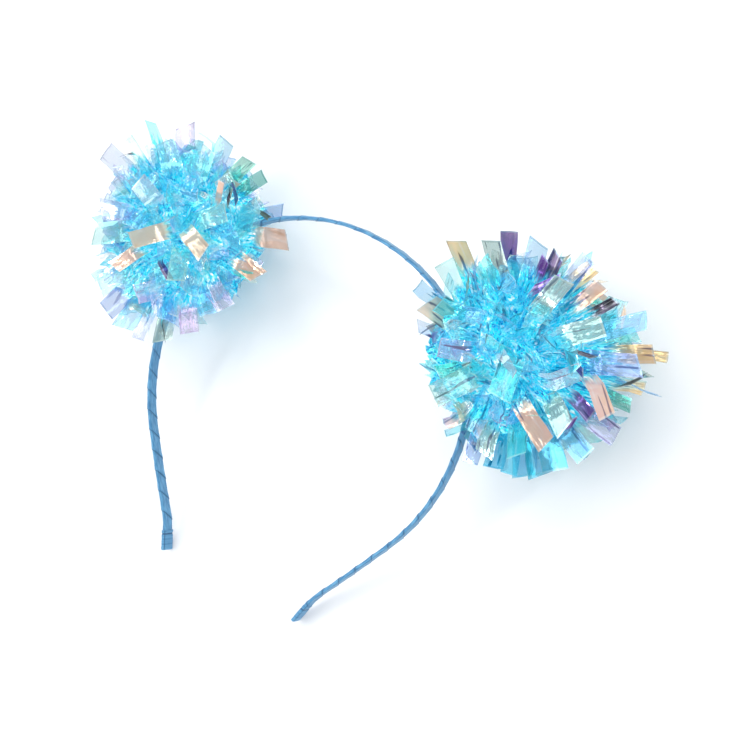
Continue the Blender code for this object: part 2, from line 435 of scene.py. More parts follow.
class ShapeTree(Graph):
    """A Geometry Nodes tree with named inputs for its sizes."""

    def __init__(self, name: str) -> None:
        """Starts a tree that takes and gives geometry.

        Args:
            name: The tree's name.
        """
        super().__init__(bpy.data.node_groups.new(name, "GeometryNodeTree"))
        for way in ("INPUT", "OUTPUT"):
            self.tree.interface.new_socket("Geometry", in_out=way, socket_type="NodeSocketGeometry")
        self.inlet = self.add("NodeGroupInput")
        self.keys: dict[str, str] = {}

    @property
    def geometry(self) -> Socket:
        """What the tree is given."""
        return self.inlet.outputs[0]

    def size(self, name: str, kind: str = "Float") -> Socket:
        """Adds a named input.

        Args:
            name: What the input is called.
            kind: Float, Int, Vector or Material.

        Returns:
            The socket that gives its value.
        """
        item = self.tree.interface.new_socket(name, in_out="INPUT", socket_type="NodeSocket" + kind)
        self.keys[name] = item.identifier
        return self.inlet.outputs[name]

    def read(self, name: str, kind: str = "FLOAT") -> Socket:
        """Reads a named attribute."""
        return self.add("GeometryNodeInputNamedAttribute", {"Name": name}, data_type=kind).outputs[0]

    def keep(self, geometry: Socket, name: str, value: Any, kind: str = "FLOAT") -> Socket:
        """Stores a named attribute on points."""
        inputs = {"Geometry": geometry, "Name": name, "Value": value}
        return self.add("GeometryNodeStoreNamedAttribute", inputs, data_type=kind).outputs[0]

    def moved(self, geometry: Socket, position: Socket) -> Socket:
        """Puts each point at a new position."""
        return self.add("GeometryNodeSetPosition", {"Geometry": geometry, "Position": position}).outputs[0]

    def close(self, geometry: Socket, material: Socket) -> None:
        """Ends the tree with real geometry in one material.

        Args:
            geometry: What the tree has made.
            material: The socket that gives the material.
        """
        real = self.add("GeometryNodeRealizeInstances", {"Geometry": geometry}).outputs[0]
        dressed = self.add("GeometryNodeSetMaterial", {"Geometry": real, "Material": material})
        self.add("NodeGroupOutput", {0: dressed.outputs[0]})

    def shape(self, name: str, base: bpy.types.ID, values: dict[str, Any]) -> bpy.types.Object:
        """Runs the tree on some geometry and keeps the result as a plain mesh.

        Args:
            name: The new object's name.
            base: The mesh or curve that the tree is given.
            values: The tree's inputs by name.

        Returns:
            An object that holds the mesh, with no modifier.
        """
        source = linked(name + "_source", base)
        modifier = source.modifiers.new(self.tree.name, "NODES")
        modifier.node_group = self.tree
        for key, value in values.items():
            modifier[self.keys[key]] = value
        mesh = evaluated(source, modifier)
        bpy.data.objects.remove(source)
        mesh.name = name
        return linked(name, mesh)


class Paint(Graph):
    """A material under construction around one Principled shader."""

    def __init__(self, name: str, **constants: Any) -> None:
        """Starts a material.

        Args:
            name: The material's name.
            constants: Plain values of the shader, by the input's name with _ for spaces.
        """
        self.material = bpy.data.materials.new(name)
        self.material.use_nodes = True
        super().__init__(self.material.node_tree)
        self.shader = self.tree.nodes["Principled BSDF"]
        for key, value in constants.items():
            self.shader.inputs[key.replace("_", " ")].default_value = value

    def attribute(self, name: str) -> Socket:
        """Reads a number stored on the mesh."""
        return self.add("ShaderNodeAttribute", attribute_name=name).outputs["Fac"]

    def place(self) -> Socket:
        """The point's own place on the piece."""
        return self.add("ShaderNodeTexCoord").outputs["Object"]

    def spread(self, place: Socket, scale: float, detail: float = 2.0, rough: float = 0.5) -> Socket:
        """Smooth noise.

        Args:
            place: Where it is read.
            scale: Waves per unit of place.
            detail: How many finer layers it has.
            rough: How strong the finer layers are.

        Returns:
            A number socket, from 0 to 1.
        """
        inputs = {"Vector": place, "Scale": scale, "Detail": detail, "Roughness": rough}
        return self.add("ShaderNodeTexNoise", inputs).outputs[0]

    def blend(self, factor: Any, first: Any, second: Any, way: str = "MIX") -> Socket:
        """Mixes two colours."""
        inputs = {0: factor, 6: first, 7: second}
        return self.add("ShaderNodeMix", inputs, data_type="RGBA", blend_type=way).outputs[2]

    def dent(self, height: Socket, strength: Any, distance: float, normal: Optional[Socket] = None) -> None:
        """Gives the shader a bump.

        Args:
            height: The bump's height.
            strength: How strong it is, from 0 to 1.
            distance: How far a height of 1 stands out.
            normal: The normal that it starts from, if not the surface's own.
        """
        inputs = {"Height": height, "Strength": strength, "Distance": distance}
        if normal:
            inputs["Normal"] = normal
        self.feed(self.shader.inputs["Normal"], self.add("ShaderNodeBump", inputs).outputs[0])


@dataclass(frozen=True)
class RibbonFinish:
    """Mid-blue ribbed ribbon with a satin sheen, with painted shade where one turn ends under the next,
    along one edge and along the folds.
    """

    name: str = "blue_ribbon"
    body: Rgb = (56, 120, 168)
    light: Rgb = (104, 166, 206)
    # The painted shade's colour.
    shade: Rgb = (28, 74, 116)
    ribs_per_turn: int = 26
    rib_tone: float = 0.14
    mottle_stretch: float = 9.0
    mottle_scale: float = 2.2
    tuck_shade_start: float = 0.80
    edge_shade_width: float = 0.055
    edge_shade_tone: float = 0.8
    fibre_scale: float = 5200.0
    weave_depth: float = 0.06 * MM

    def material(self) -> bpy.types.Material:
        """Builds the material, which reads where a point is across and along the ribbon.

        Returns:
            The material.
        """
        paint = Paint(
            self.name,
            Roughness=0.55,
            Sheen_Weight=0.2,
            Sheen_Roughness=0.4,
            Specular_IOR_Level=0.4,
        )
        weft, turn, crease = (paint.attribute(name) for name in ("weft", "turn", "crease"))
        rib = paint.math("SINE", paint.math("MULTIPLY", turn, 2 * math.pi * self.ribs_per_turn))
        stretched = paint.math("MULTIPLY", turn, self.mottle_stretch)
        streak = paint.add("ShaderNodeCombineXYZ", {0: stretched, 1: weft}).outputs[0]
        mottle = paint.spread(streak, self.mottle_scale, 3.0)
        ribbed = paint.math("MULTIPLY", rib, self.rib_tone)
        tone = paint.math("ADD", ribbed, paint.between(mottle, 0.3, 0.7))
        colour = paint.blend(tone, linear(self.body), linear(self.light))
        # Painted shade: darker where a turn tucks under the next one, along one edge of the ribbon, and
        # along the end caps' fold lines.
        under = paint.between(weft, self.tuck_shade_start, 0.99)
        edge_shade = paint.between(weft, 0.0, self.edge_shade_width, self.edge_shade_tone, 0.0)
        painted_shade = paint.math("MAXIMUM", paint.math("MAXIMUM", under, edge_shade), crease)
        paint.feed(paint.shader.inputs["Base Color"], paint.blend(painted_shade, colour, linear(self.shade)))
        fibre = paint.spread(paint.place(), self.fibre_scale, 2.0)
        height = paint.math("ADD", paint.math("MULTIPLY", rib, 0.5), paint.math("MULTIPLY", fibre, 0.6))
        paint.dent(height, 0.5, self.weave_depth)
        rough = paint.between(mottle, 0.2, 0.8, 0.46, 0.66)
        paint.feed(paint.shader.inputs["Roughness"], rough)
        return paint.material


class Tint(Enum):
    """What the film's ends show: a screen colour, and how much of what is behind it they hide."""

    LAVENDER = ((214, 204, 250), 0.42)
    PALE_CYAN = ((164, 242, 252), 0.38)
    MINT = ((184, 248, 228), 0.42)
    BEIGE = ((240, 218, 188), 0.86)
    PEACH = ((254, 208, 178), 0.82)
    PINK = ((236, 190, 240), 0.46)
    SKY = ((112, 200, 250), 0.46)
    AQUA = ((70, 232, 242), 0.52)
    # SILVER is the film's pale whitish tint, and the silver strips placed on the right pompom also paint
    # white glare.
    SILVER = ((234, 244, 252), 0.36)
    GREY_MINT = ((184, 216, 206), 0.72)
    GOLD = ((254, 214, 140), 0.80)
    PERIWINKLE = ((156, 172, 244), 0.50)
    # PURPLE, NAVY and the near-black tint below TEAL are painted dark reflections: sheets of colour put
    # where the glossy film mirrors dark surroundings.
    PURPLE = ((110, 62, 158), 0.90)
    NAVY = ((32, 50, 130), 0.94)
    TEAL = ((60, 196, 172), 0.66)
    DUSK = ((34, 36, 48), 0.96)
    TURQUOISE = ((52, 204, 236), 0.72)

    @property
    def shade(self) -> float:
        """The tint's place in the finish's ramp, from 0 to 1."""
        members = list(Tint)
        return (members.index(self) + 0.5) / len(members)


@dataclass(frozen=True)
class Facets:
    """The look of film crumpled into small facets, with painted light and shade: each facet gets its own
    tone, as if it caught the light its own way.
    """

    # Tones from the darkest facet to the lightest: painted light and shade on the film's own cyan.
    deep: Rgb = (0, 146, 204)
    body: Rgb = (4, 216, 238)
    bright: Rgb = (78, 240, 250)
    pale: Rgb = (184, 248, 254)
    glint: Rgb = (250, 254, 255)
    # Painted shade laid towards the strips' roots.
    root_shade: Rgb = (0, 172, 220)
    cell_share: float = 0.64
    # Painted highlight lines along the folds between the facets: their width and strength.
    fold_core: float = 0.012
    fold_edge: float = 0.04
    fold_highlight: float = 0.45
    places: ClassVar[tuple[float, ...]] = (0.12, 0.38, 0.62, 0.80, 0.90)

    def colour(self, paint: Paint, cells: bpy.types.Node, broad: Socket) -> Socket:
        """Mixes the facets' painted light and shade, with painted highlights along their borders.

        Args:
            paint: The material.
            cells: The texture whose cells are the facets.
            broad: A slower change, from 0 to 1.

        Returns:
            The colour's socket.
        """
        pick = paint.add("ShaderNodeSeparateXYZ", {0: cells.outputs["Color"]}).outputs[0]
        slow = paint.math("MULTIPLY", paint.between(broad, 0.3, 0.7), 1 - self.cell_share)
        tone = paint.math("ADD", paint.math("MULTIPLY", pick, self.cell_share), slow)
        tones = paint.add("ShaderNodeValToRGB", {0: tone})
        elements = tones.color_ramp.elements
        shown = (self.deep, self.body, self.bright, self.pale, self.glint)
        while len(elements) < len(shown):
            elements.new(0.5)
        for element, position, colour in zip(elements, self.places, shown):
            element.position = position
            element.color = linear(colour)
        # Painted highlight: light lines along the borders between the facets.
        sheet = cells.inputs["Vector"].links[0].from_socket
        inputs = {"Vector": sheet, "Scale": cells.inputs["Scale"].default_value}
        away = paint.add("ShaderNodeTexVoronoi", inputs, feature="DISTANCE_TO_EDGE").outputs["Distance"]
        line = paint.between(away, self.fold_core, self.fold_edge, self.fold_highlight, 0.0)
        return paint.blend(line, tones.outputs[0], linear(self.glint))

    def tilt(self, paint: Paint, cells: bpy.types.Node, amount: Any) -> Socket:
        """Turns each facet's face its own way.

        Args:
            paint: The material.
            cells: The texture whose cells are the facets.
            amount: How far they turn, as a share of the normal's length.

        Returns:
            The normal's socket.
        """
        push = paint.vector("SUBTRACT", cells.outputs["Color"], (0.5, 0.5, 0.5))
        normal = paint.add("ShaderNodeNewGeometry").outputs["Normal"]
        return paint.vector("NORMALIZE", paint.vector("ADD", normal, paint.scaled(push, amount)))


@dataclass(frozen=True)
class FilmPlace:
    """Where a point of the film is on its strip, and how the film lies there."""

    across: Socket
    along: Socket
    streak: Socket
    broad: Socket
    cells: bpy.types.Node
    apart: ClassVar[float] = 60.0

    @classmethod
    def read(cls, paint: Paint) -> "FilmPlace":
        """Reads the strip's attributes, and lays streaks and facets out along it.

        Args:
            paint: The material.

        Returns:
            What the finish is mixed from.
        """
        across, along = paint.attribute("across"), paint.attribute("along")
        strip = paint.math("MULTIPLY", paint.attribute("seed"), cls.apart)
        sheet = paint.add("ShaderNodeCombineXYZ", {0: across, 1: along, 2: strip}).outputs[0]
        streak = paint.spread(paint.vector("MULTIPLY", sheet, (1.5, 1.7, 1.0)), 1.3, 1.5, 0.5)
        broad = paint.spread(paint.vector("MULTIPLY", sheet, (0.5, 2.4, 1.0)), 1.0, 1.0, 0.5)
        stretched = paint.vector("MULTIPLY", sheet, (1.25, 4.4, 1.0))
        return cls(across, along, streak, broad, paint.add("ShaderNodeTexVoronoi", {"Vector": stretched}))


@dataclass(frozen=True)
class FilmFinish:
    """Thin glossy tinted film: bright blue near the knot, pale and iridescent at the strips' ends."""

    name: str
    facets: Facets = Facets()
    core_hides: float = 0.90
    roughness: float = 0.11
    # Painted shade: how strongly dark crease lines are painted along the streaks, and their colour.
    creases: float = 0.3
    crease: Rgb = (40, 92, 150)
    # Painted glow near the knot, standing in for light passing through the film.
    painted_glow: float = 0.33
    # Painted highlight along the strips' cut edges: its colour and strength.
    edge: Rgb = (196, 232, 246)
    edge_highlight: float = 0.42
    core_lets: Rgb = (128, 234, 250)
    ends_let: Rgb = (236, 250, 255)
    fade_uneven: float = 0.3
    core_tilt: float = 1.3
    core_dent: float = 0.5
    end_dent: float = 0.14
    dent_depth: float = 0.3 * MM
    neighbour_step: float = 7.0
    neighbour_last: float = 0.72

    def material(self) -> bpy.types.Material:
        """Builds the material, which reads where a point is on its strip and the strip's tint.

        Returns:
            The material.
        """
        paint = Paint(
            self.name,
            Roughness=self.roughness,
            Metallic=0.6,
            Specular_IOR_Level=0.7,
            Thin_Film_Thickness=430.0,
            Thin_Film_IOR=1.5,
            Emission_Strength=self.painted_glow,
        )
        place = FilmPlace.read(paint)
        core, tip, edge = self.core(paint, place), self.tip(paint, place), self.edges(paint, place)
        ends, ends_hide = self.ends(paint, place)
        # Painted shade: dark crease lines along the streaks, which also make the film hide more.
        crease_shade = paint.between(place.streak, 0.33, 0.38, self.creases, 0.0)
        colour = paint.blend(tip, core, ends)
        colour = paint.blend(crease_shade, colour, linear(self.crease))
        colour = paint.blend(edge, colour, linear(self.edge))
        paint.feed(paint.shader.inputs["Base Color"], colour)
        # Painted glow: the knot's colour given off as light, fading to none at the ends.
        paint.feed(paint.shader.inputs["Emission Color"], paint.blend(tip, core, (0.0, 0.0, 0.0, 1.0)))
        self.relief(paint, place, tip)
        hides = paint.add("ShaderNodeMix", {0: tip, 2: self.core_hides, 3: ends_hide}).outputs[0]
        hides = paint.math("ADD", hides, paint.math("MAXIMUM", edge, crease_shade))
        hides = paint.math("MINIMUM", hides, 1.0)
        passing = paint.blend(tip, linear(self.core_lets), linear(self.ends_let))
        clear = paint.add("ShaderNodeBsdfTransparent", {0: passing})
        mixed = paint.add("ShaderNodeMixShader", {0: hides, 1: clear.outputs[0], 2: paint.shader.outputs[0]})
        paint.feed(paint.tree.nodes["Material Output"].inputs["Surface"], mixed.outputs[0])
        return paint.material

    def core(self, paint: Paint, place: FilmPlace) -> Socket:
        """Mixes the colour near the knot: painted facet light and shade, painted highlight and shade
        streaks, and painted shade deepening towards the root.

        Args:
            paint: The material.
            place: Where the point is on its strip.

        Returns:
            The colour's socket.
        """
        colour = self.facets.colour(paint, place.cells, place.broad)
        # Painted highlight streaks, painted dark streaks, and painted shade near the root.
        layers = (
            (paint.between(place.streak, 0.62, 0.66, 0.0, 0.5), self.facets.glint),
            (paint.between(place.streak, 0.34, 0.38, 0.6, 0.0), self.facets.deep),
            (paint.between(place.along, 0.20, 0.55, 0.7, 0.0), self.facets.root_shade),
        )
        for share, tone in layers:
            colour = paint.blend(share, colour, linear(tone))
        return colour

    def ends(self, paint: Paint, place: FilmPlace) -> tuple[Socket, Socket]:
        """Mixes the strip's own tint with the one that it turns to in places, with painted highlight
        streaks.

        Args:
            paint: The material.
            place: Where the point is on its strip.

        Returns:
            The colour's socket, and the socket of how much of what is behind it the film hides.
        """
        shade, seed = paint.attribute("shade"), paint.attribute("seed")
        first, second = self.tints(paint, shade), self.tints(paint, self.neighbour(paint, shade, seed))
        turned = paint.between(place.broad, 0.38, 0.62, 0.0, paint.attribute("shift"))
        colour = paint.blend(turned, first.outputs[0], second.outputs[0])
        # Painted highlight streaks along the strip.
        streak_highlight = paint.between(place.streak, 0.60, 0.68, 0.0, 0.2)
        return paint.blend(streak_highlight, colour, linear(self.facets.glint)), first.outputs[1]

    def tip(self, paint: Paint, place: FilmPlace) -> Socket:
        """Finds how far the film has turned from the knot's colour to its end's.

        Args:
            paint: The material.
            place: Where the point is on its strip.

        Returns:
            A number socket, from 0 to 1.
        """
        uneven = paint.math("MULTIPLY", paint.math("SUBTRACT", place.streak, 0.5), self.fade_uneven)
        start, end = paint.attribute("fade_start"), paint.attribute("fade_end")
        faded = paint.between(paint.math("ADD", place.along, uneven), start, end)
        return paint.math("MULTIPLY", faded, paint.attribute("pale"))

    def edges(self, paint: Paint, place: FilmPlace) -> Socket:
        """Finds the strip's cut edges, where a painted highlight lightens the colour.

        Args:
            paint: The material.
            place: Where the point is on its strip.

        Returns:
            A number socket, 0 away from the edges.
        """
        sides = paint.between(paint.math("ABSOLUTE", place.across), 0.95, 0.99)
        cut = paint.between(place.along, 0.978, 0.992)
        return paint.math("MULTIPLY", paint.math("MAXIMUM", sides, cut), self.edge_highlight)

    def relief(self, paint: Paint, place: FilmPlace, tip: Socket) -> None:
        """Turns the facets and dents the film: much near the knot, by its crumples at its end.

        Args:
            paint: The material.
            place: Where the point is on its strip.
            tip: How far the film has turned to its end's colour.
        """
        calm = paint.math("MULTIPLY", paint.attribute("crumple"), self.end_dent)
        across, streak = paint.math("MULTIPLY", place.across, 2.0), paint.math("MULTIPLY", place.streak, 7.0)
        wave = paint.math("SINE", paint.math("ADD", across, streak))
        height = paint.math("ADD", wave, place.cells.outputs["Distance"])
        turned = paint.between(tip, 0.0, 1.0, self.core_tilt, calm)
        normal = self.facets.tilt(paint, place.cells, turned)
        paint.dent(height, paint.between(tip, 0.0, 1.0, self.core_dent, calm), self.dent_depth, normal)

    def neighbour(self, paint: Paint, shade: Socket, seed: Socket) -> Socket:
        """Picks the second tint that a strip turns to in places."""
        moved = paint.math("ADD", paint.math("MULTIPLY", seed, self.neighbour_step), shade)
        return paint.math("MULTIPLY", paint.math("FRACT", moved), self.neighbour_last)

    @staticmethod
    def tints(paint: Paint, shade: Socket) -> bpy.types.Node:
        """Adds a ramp with one flat band for each tint.

        Args:
            paint: The material.
            shade: The tint's place in the ramp.

        Returns:
            The ramp's node: the tint's colour, and how much it hides as alpha.
        """
        node = paint.add("ShaderNodeValToRGB", {0: shade})
        ramp = node.color_ramp
        ramp.interpolation = "CONSTANT"
        ramp.elements.remove(ramp.elements[1])
        for k, tint in enumerate(Tint):
            element = ramp.elements[0] if k == 0 else ramp.elements.new(k / len(Tint))
            element.position = k / len(Tint)
            element.color = linear(tint.value[0], tint.value[1])
        return node


@dataclass(frozen=True)
class HeartFinish:
    """Crumpled film packed so tight that nothing shows through."""

    name: str
    facets: Facets = Facets()
    # Painted glow, standing in for light passing through the film.
    painted_glow: float = 0.33
    facet_scale: float = 430.0
    broad_scale: float = 170.0
    turned: float = 1.3
    dent_depth: float = 0.4 * MM

    def material(self) -> bpy.types.Material:
        """Builds the material.

        Returns:
            The material.
        """
        paint = Paint(
            self.name,
            Roughness=0.2,
            Metallic=0.4,
            Specular_IOR_Level=0.7,
            Emission_Strength=self.painted_glow,
        )
        place = paint.place()
        cells = paint.add("ShaderNodeTexVoronoi", {"Vector": place, "Scale": self.facet_scale})
        # Painted light and shade on the facets, with painted highlights along their borders.
        colour = self.facets.colour(paint, cells, paint.spread(place, self.broad_scale, 3.0, 0.6))
        paint.feed(paint.shader.inputs["Base Color"], colour)
        # Painted glow in the facets' colour.
        paint.feed(paint.shader.inputs["Emission Color"], colour)
        normal = self.facets.tilt(paint, cells, self.turned)
        paint.dent(cells.outputs["Distance"], 0.4, self.dent_depth, normal)
        return paint.material


def report(piece: bpy.types.Object, slot: str, *nodes: str) -> bpy.types.Object:
    """Makes a finished piece ride with the headband and logs it.

    Args:
        piece: The piece, in place.
        slot: The record's material slot, named in the log.
        nodes: The solids that it stands for.

    Returns:
        The piece.
    """
    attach(piece, "root")
    if nodes:
        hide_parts(*nodes)
    log.info("%s: %d faces, slot %s, stands for %s", piece.name, len(piece.data.polygons), slot, nodes)
    return piece


@dataclass
class WoundRibbon:
    """The ribbon, wound in overlapping turns along the whole band."""

    line: BandLine
    width: float = 5.0 * MM
    thickness: float = 1.2 * MM
    corner: float = 0.45 * MM
    pitch: float = 7.7 * MM
    ribbon: float = 0.18 * MM
    lap: float = 1.1 * MM
    slope: float = 0.8 * MM
    cap_length: float = 7.0 * MM
    weld: float = 1e-6
    rows_per_turn: int = 26
    edge_points: int = 7
    sample: float = 1.5 * MM

    @property
    def half_wound(self) -> float:
        """Half the length of the wound stretch."""
        return self.line.length / 2 - self.cap_length

    def rail(self, name: str, half: float) -> bpy.types.Curve:
        """Draws the band's middle line.

        Args:
            name: The curve's name.
            half: How far it goes to each side of the crown's middle.

        Returns:
            A curve of straight runs short enough to look bent.
        """
        count = math.ceil(2 * half / self.sample)
        curve = bpy.data.curves.new(name, "CURVE")
        curve.dimensions = "3D"
        spline = curve.splines.new("POLY")
        spline.points.add(count)
        for k, point in enumerate(spline.points):
            point.co = (*self.line.spot(-half + 2 * half * k / count).point, 1)
        return curve

    def section(self, tree: ShapeTree, width: Socket, thickness: Socket, corner: Socket) -> Socket:
        """Draws the band's rounded flat section, with its width along X.

        Args:
            tree: The tree that it is part of.
            width: The section's width.
            thickness: Its thickness.
            corner: The radius of its corners.

        Returns:
            The closed curve's socket.
        """
        box = tree.add("GeometryNodeCurvePrimitiveQuadrilateral", {"Width": width, "Height": thickness})
        inputs = {"Curve": box.outputs[0], "Count": 3, "Radius": corner, "Limit Radius": True}
        return tree.add("GeometryNodeFilletCurve", inputs, mode="POLY").outputs[0]

    def winding(self) -> ShapeTree:
        """Builds the tree that winds a ribbon round the curve that it is given.

        Returns:
            The tree.
        """
        tree = ShapeTree("wound_ribbon")
        rise = tree.size("Rise", "Vector")
        length, turns, rows = tree.size("Length"), tree.size("Turns"), tree.size("Rows", "Int")
        width, thickness, corner = (tree.size(name) for name in ("Width", "Thickness", "Corner"))
        pitch, lap, slope = (tree.size(name) for name in ("Pitch", "Lap", "Slope"))
        ribbon, edge_points = tree.size("Ribbon"), tree.size("Edge points", "Int")
        cloth = tree.size("Material", "Material")

        # A straight tube: a row for each step along the ribbon, a loop over its face and back under it.
        rail = tree.add("GeometryNodeCurvePrimitiveLine").outputs[0]
        rail = tree.add("GeometryNodeResampleCurve", {"Curve": rail, "Count": rows}).outputs[0]
        index = tree.add("GeometryNodeInputIndex").outputs[0]
        last_row = tree.math("SUBTRACT", rows, 1)
        rail = tree.keep(rail, "turn", tree.math("MULTIPLY", tree.math("DIVIDE", index, last_row), turns))
        loop_points = tree.math("MULTIPLY", edge_points, 2)
        loop = tree.add("GeometryNodeCurvePrimitiveCircle", {"Resolution": loop_points}).outputs[0]
        loop = tree.keep(loop, "edge", index)
        inputs = {"Curve": rail, "Profile Curve": loop, "Fill Caps": True}
        tube = tree.add("GeometryNodeCurveToMesh", inputs).outputs[0]

        # Where each point is along the band, and how far the lap lifts it off the turn below.
        turn, edge = tree.read("turn"), tree.read("edge")
        below = tree.math("GREATER_THAN", edge, tree.math("SUBTRACT", edge_points, 0.5))
        mirrored = tree.math("SUBTRACT", tree.math("SUBTRACT", loop_points, 1), edge)
        step = tree.add("ShaderNodeMix", {0: below, 2: edge, 3: mirrored}).outputs[0]
        weft = tree.math("DIVIDE", step, tree.math("SUBTRACT", edge_points, 1))
        spread = tree.math("MULTIPLY", weft, tree.math("ADD", pitch, lap))
        reach = tree.math("ADD", tree.math("MULTIPLY", tree.math("SUBTRACT", turn, 1), pitch), spread)
        reach = tree.math("MINIMUM", tree.math("MAXIMUM", reach, 0.0), length)
        up_ramp = tree.math("DIVIDE", tree.math("SUBTRACT", spread, lap), slope)
        lift = tree.math("SUBTRACT", 1.0, tree.math("MINIMUM", tree.math("MAXIMUM", up_ramp, 0.0), 1.0))
        lift = tree.math("MULTIPLY", tree.math("SUBTRACT", lift, below), ribbon)

        # The point's place on the band's section there.
        inputs = {"Curves": tree.geometry, "Length": reach}
        where = tree.add("GeometryNodeSampleCurve", inputs, mode="LENGTH", use_all_curves=True)
        outward = tree.vector("NORMALIZE", tree.vector("CROSS_PRODUCT", rise, where.outputs["Tangent"]))
        inputs = {"Curves": self.section(tree, width, thickness, corner), "Factor": tree.math("FRACT", turn)}
        around = tree.add("GeometryNodeSampleCurve", inputs, mode="FACTOR", use_all_curves=True)
        out_way = tree.vector("CROSS_PRODUCT", around.outputs["Tangent"], (0, 0, 1))
        lifted = tree.vector("ADD", around.outputs["Position"], tree.scaled(out_way, lift))
        parts = tree.add("ShaderNodeSeparateXYZ", {0: lifted}).outputs
        across, above = tree.scaled(rise, parts[0]), tree.scaled(outward, parts[1])
        place = tree.total(where.outputs["Position"], across, above)
        tube = tree.moved(tree.keep(tube, "weft", weft), place)
        welded = tree.add("GeometryNodeMergeByDistance", {"Geometry": tube, "Distance": self.weld})
        tree.close(welded.outputs[0], cloth)
        return tree

    def build(self, finish: RibbonFinish) -> bpy.types.Object:
        """Winds the ribbon and dresses it.

        Args:
            finish: The ribbon's finish.

        Returns:
            The ribbon.
        """
        turns = 2 * self.half_wound / self.pitch + 2
        values = {
            "Rise": self.line.rise,
            "Length": 2 * self.half_wound,
            "Turns": turns,
            "Rows": round(turns * self.rows_per_turn),
            "Width": self.width,
            "Thickness": self.thickness,
            "Corner": self.corner,
            "Pitch": self.pitch,
            "Lap": self.lap,
            "Slope": self.slope,
            "Ribbon": self.ribbon,
            "Edge points": self.edge_points,
            "Material": finish.material(),
        }
        rail = self.rail("band_middle", self.half_wound)
        piece = self.winding().shape("ribbon_wrap", rail, values)
        fix_normals(piece.data)
        return report(piece, "ribbon", "wrapped_band")


@dataclass
class FoldedEnd:
    """The ribbon's end, folded lengthwise over the band's tip and pressed flat."""

    line: BandLine
    side: int
    node: str
    length: float = 7.0 * MM
    width: float = 6.0 * MM
    thickness: float = 1.95 * MM
    lap: float = 0.5 * MM
    rounding: float = 0.5 * MM
    groove: float = 0.20 * MM
    fold: float = 0.16 * MM
    dent: float = 0.18 * MM
    crease_spread: float = 6.5
    start_crease: float = 0.9 * MM
    start_spread: float = 0.28 * MM
    wave: float = 0.10 * MM
    wave_size: float = 1.6 * MM
    squareness: float = 0.5
    rings: int = 44
    points: int = 96
    ribbon_round: float = 12.4 * MM
    creases: ClassVar[tuple[float, float, float]] = (34.0, -28.0, 205.0)

    def near_crease(self, angle: float) -> float:
        """How close an angle round the section is to a fold line, from 0 to 1."""
        away = min(abs((angle - crease + 180) % 360 - 180) for crease in self.creases)
        return math.exp(-((away / self.crease_spread) ** 2))

    def near_start(self, along: float) -> float:
        """How close a place is to the crease across the end, from 0 to 1."""
        return math.exp(-(((along - self.start_crease) / self.start_spread) ** 2))

    def section_point(self, along: float, angle: float) -> tuple[float, float]:
        """Finds a point of the section.

        Args:
            along: Length from the wound stretch's end.
            angle: Degrees from the edge on the rise side towards the outward face.

        Returns:
            The point's offsets along rise and outward.
        """
        cos, sin = math.cos(math.radians(angle)), math.sin(math.radians(angle))
        past = max(0.0, along - (self.length - self.rounding)) / self.rounding
        shrink = self.rounding * 0.72 * (1 - math.sqrt(max(0.0, 1 - past * past)))
        deep = self.groove * self.near_crease(angle) + self.dent * self.near_start(along)
        upper, lower, back = self.creases
        raised = self.fold if lower < angle < upper or angle > back else 0.0
        wave = noise.noise(Vector((along / self.wave_size, cos * 1.4, sin * 1.4 + self.side * 3)))
        size = raised - deep - shrink + wave * self.wave - self.fold
        rise = math.copysign(abs(cos) ** self.squareness, cos) * (self.width / 2 + size)
        out = math.copysign(abs(sin) ** self.squareness, sin) * (self.thickness / 2 + size)
        return rise, out

    def build(self, finish: bpy.types.Material) -> bpy.types.Object:
        """Models the folded end and dresses it.

        Args:
            finish: The ribbon's material.

        Returns:
            The end.
        """
        base = self.line.spot(self.side * (self.line.length / 2 - self.length))
        tip_way = base.along * self.side
        corners, faces, crease, turn = [], [], [], []
        for ring in range(self.rings + 1):
            along = -self.lap + (self.length + self.lap) * ring / self.rings
            for k in range(self.points):
                angle = 360 * k / self.points
                angle = angle - 360 if angle > 270 else angle
                rise, out = self.section_point(along, angle)
                corners.append(base.point + tip_way * along + self.line.rise * rise + base.outward * out)
                # How near the point is to a fold line, where the ribbon's material paints shade.
                crease.append(max(self.near_crease(angle), self.near_start(along)))
                turn.append(along / self.ribbon_round)
        for ring in range(self.rings):
            for k in range(self.points):
                first, second = ring * self.points + k, ring * self.points + (k + 1) % self.points
                faces.append((first, second, second + self.points, first + self.points))
        faces.append(tuple(range(self.points)))
        faces.append(tuple(range(self.rings * self.points, (self.rings + 1) * self.points)))
        mesh = bpy.data.meshes.new(self.node + "_folds")
        mesh.from_pydata(corners, [], faces)
        values = {"crease": crease, "turn": turn, "weft": [0.5] * len(corners)}
        for name, numbers in values.items():
            mesh.attributes.new(name, "FLOAT", "POINT").data.foreach_set("value", numbers)
        mesh.materials.append(finish)
        fix_normals(mesh)
        mesh.shade_smooth()
        return report(linked(self.node + "_folds", mesh), "ribbon_end", self.node)


@dataclass(frozen=True)
class Patch:
    """A strip whose end shows in the photograph, by the picture point of that end's middle."""

    x: float
    y: float
    tint: Tint
    width: float = 7.0
    length: float = 9.0
    angle: Optional[float] = None


@dataclass(frozen=True)
class Ranges:
    """What the sizes of one kind of strip are drawn from, in millimetres and degrees.

    The stretch is a share of the way out to the pompom's ball, and the bend's start a share of the strip.
    """

    width: Range = (4.6, 7.6)
    twist: Range = (-60, 60)
    pleat: Range = (0.3, 1.9)
    slant: Range = (-1.8, 1.8)
    crumple: Range = (0.6, 1.4)
    bend: Range = (4, 44)
    bend_start: Range = (0.3, 0.6)
    stretch: Range = (0.88, 1.14)


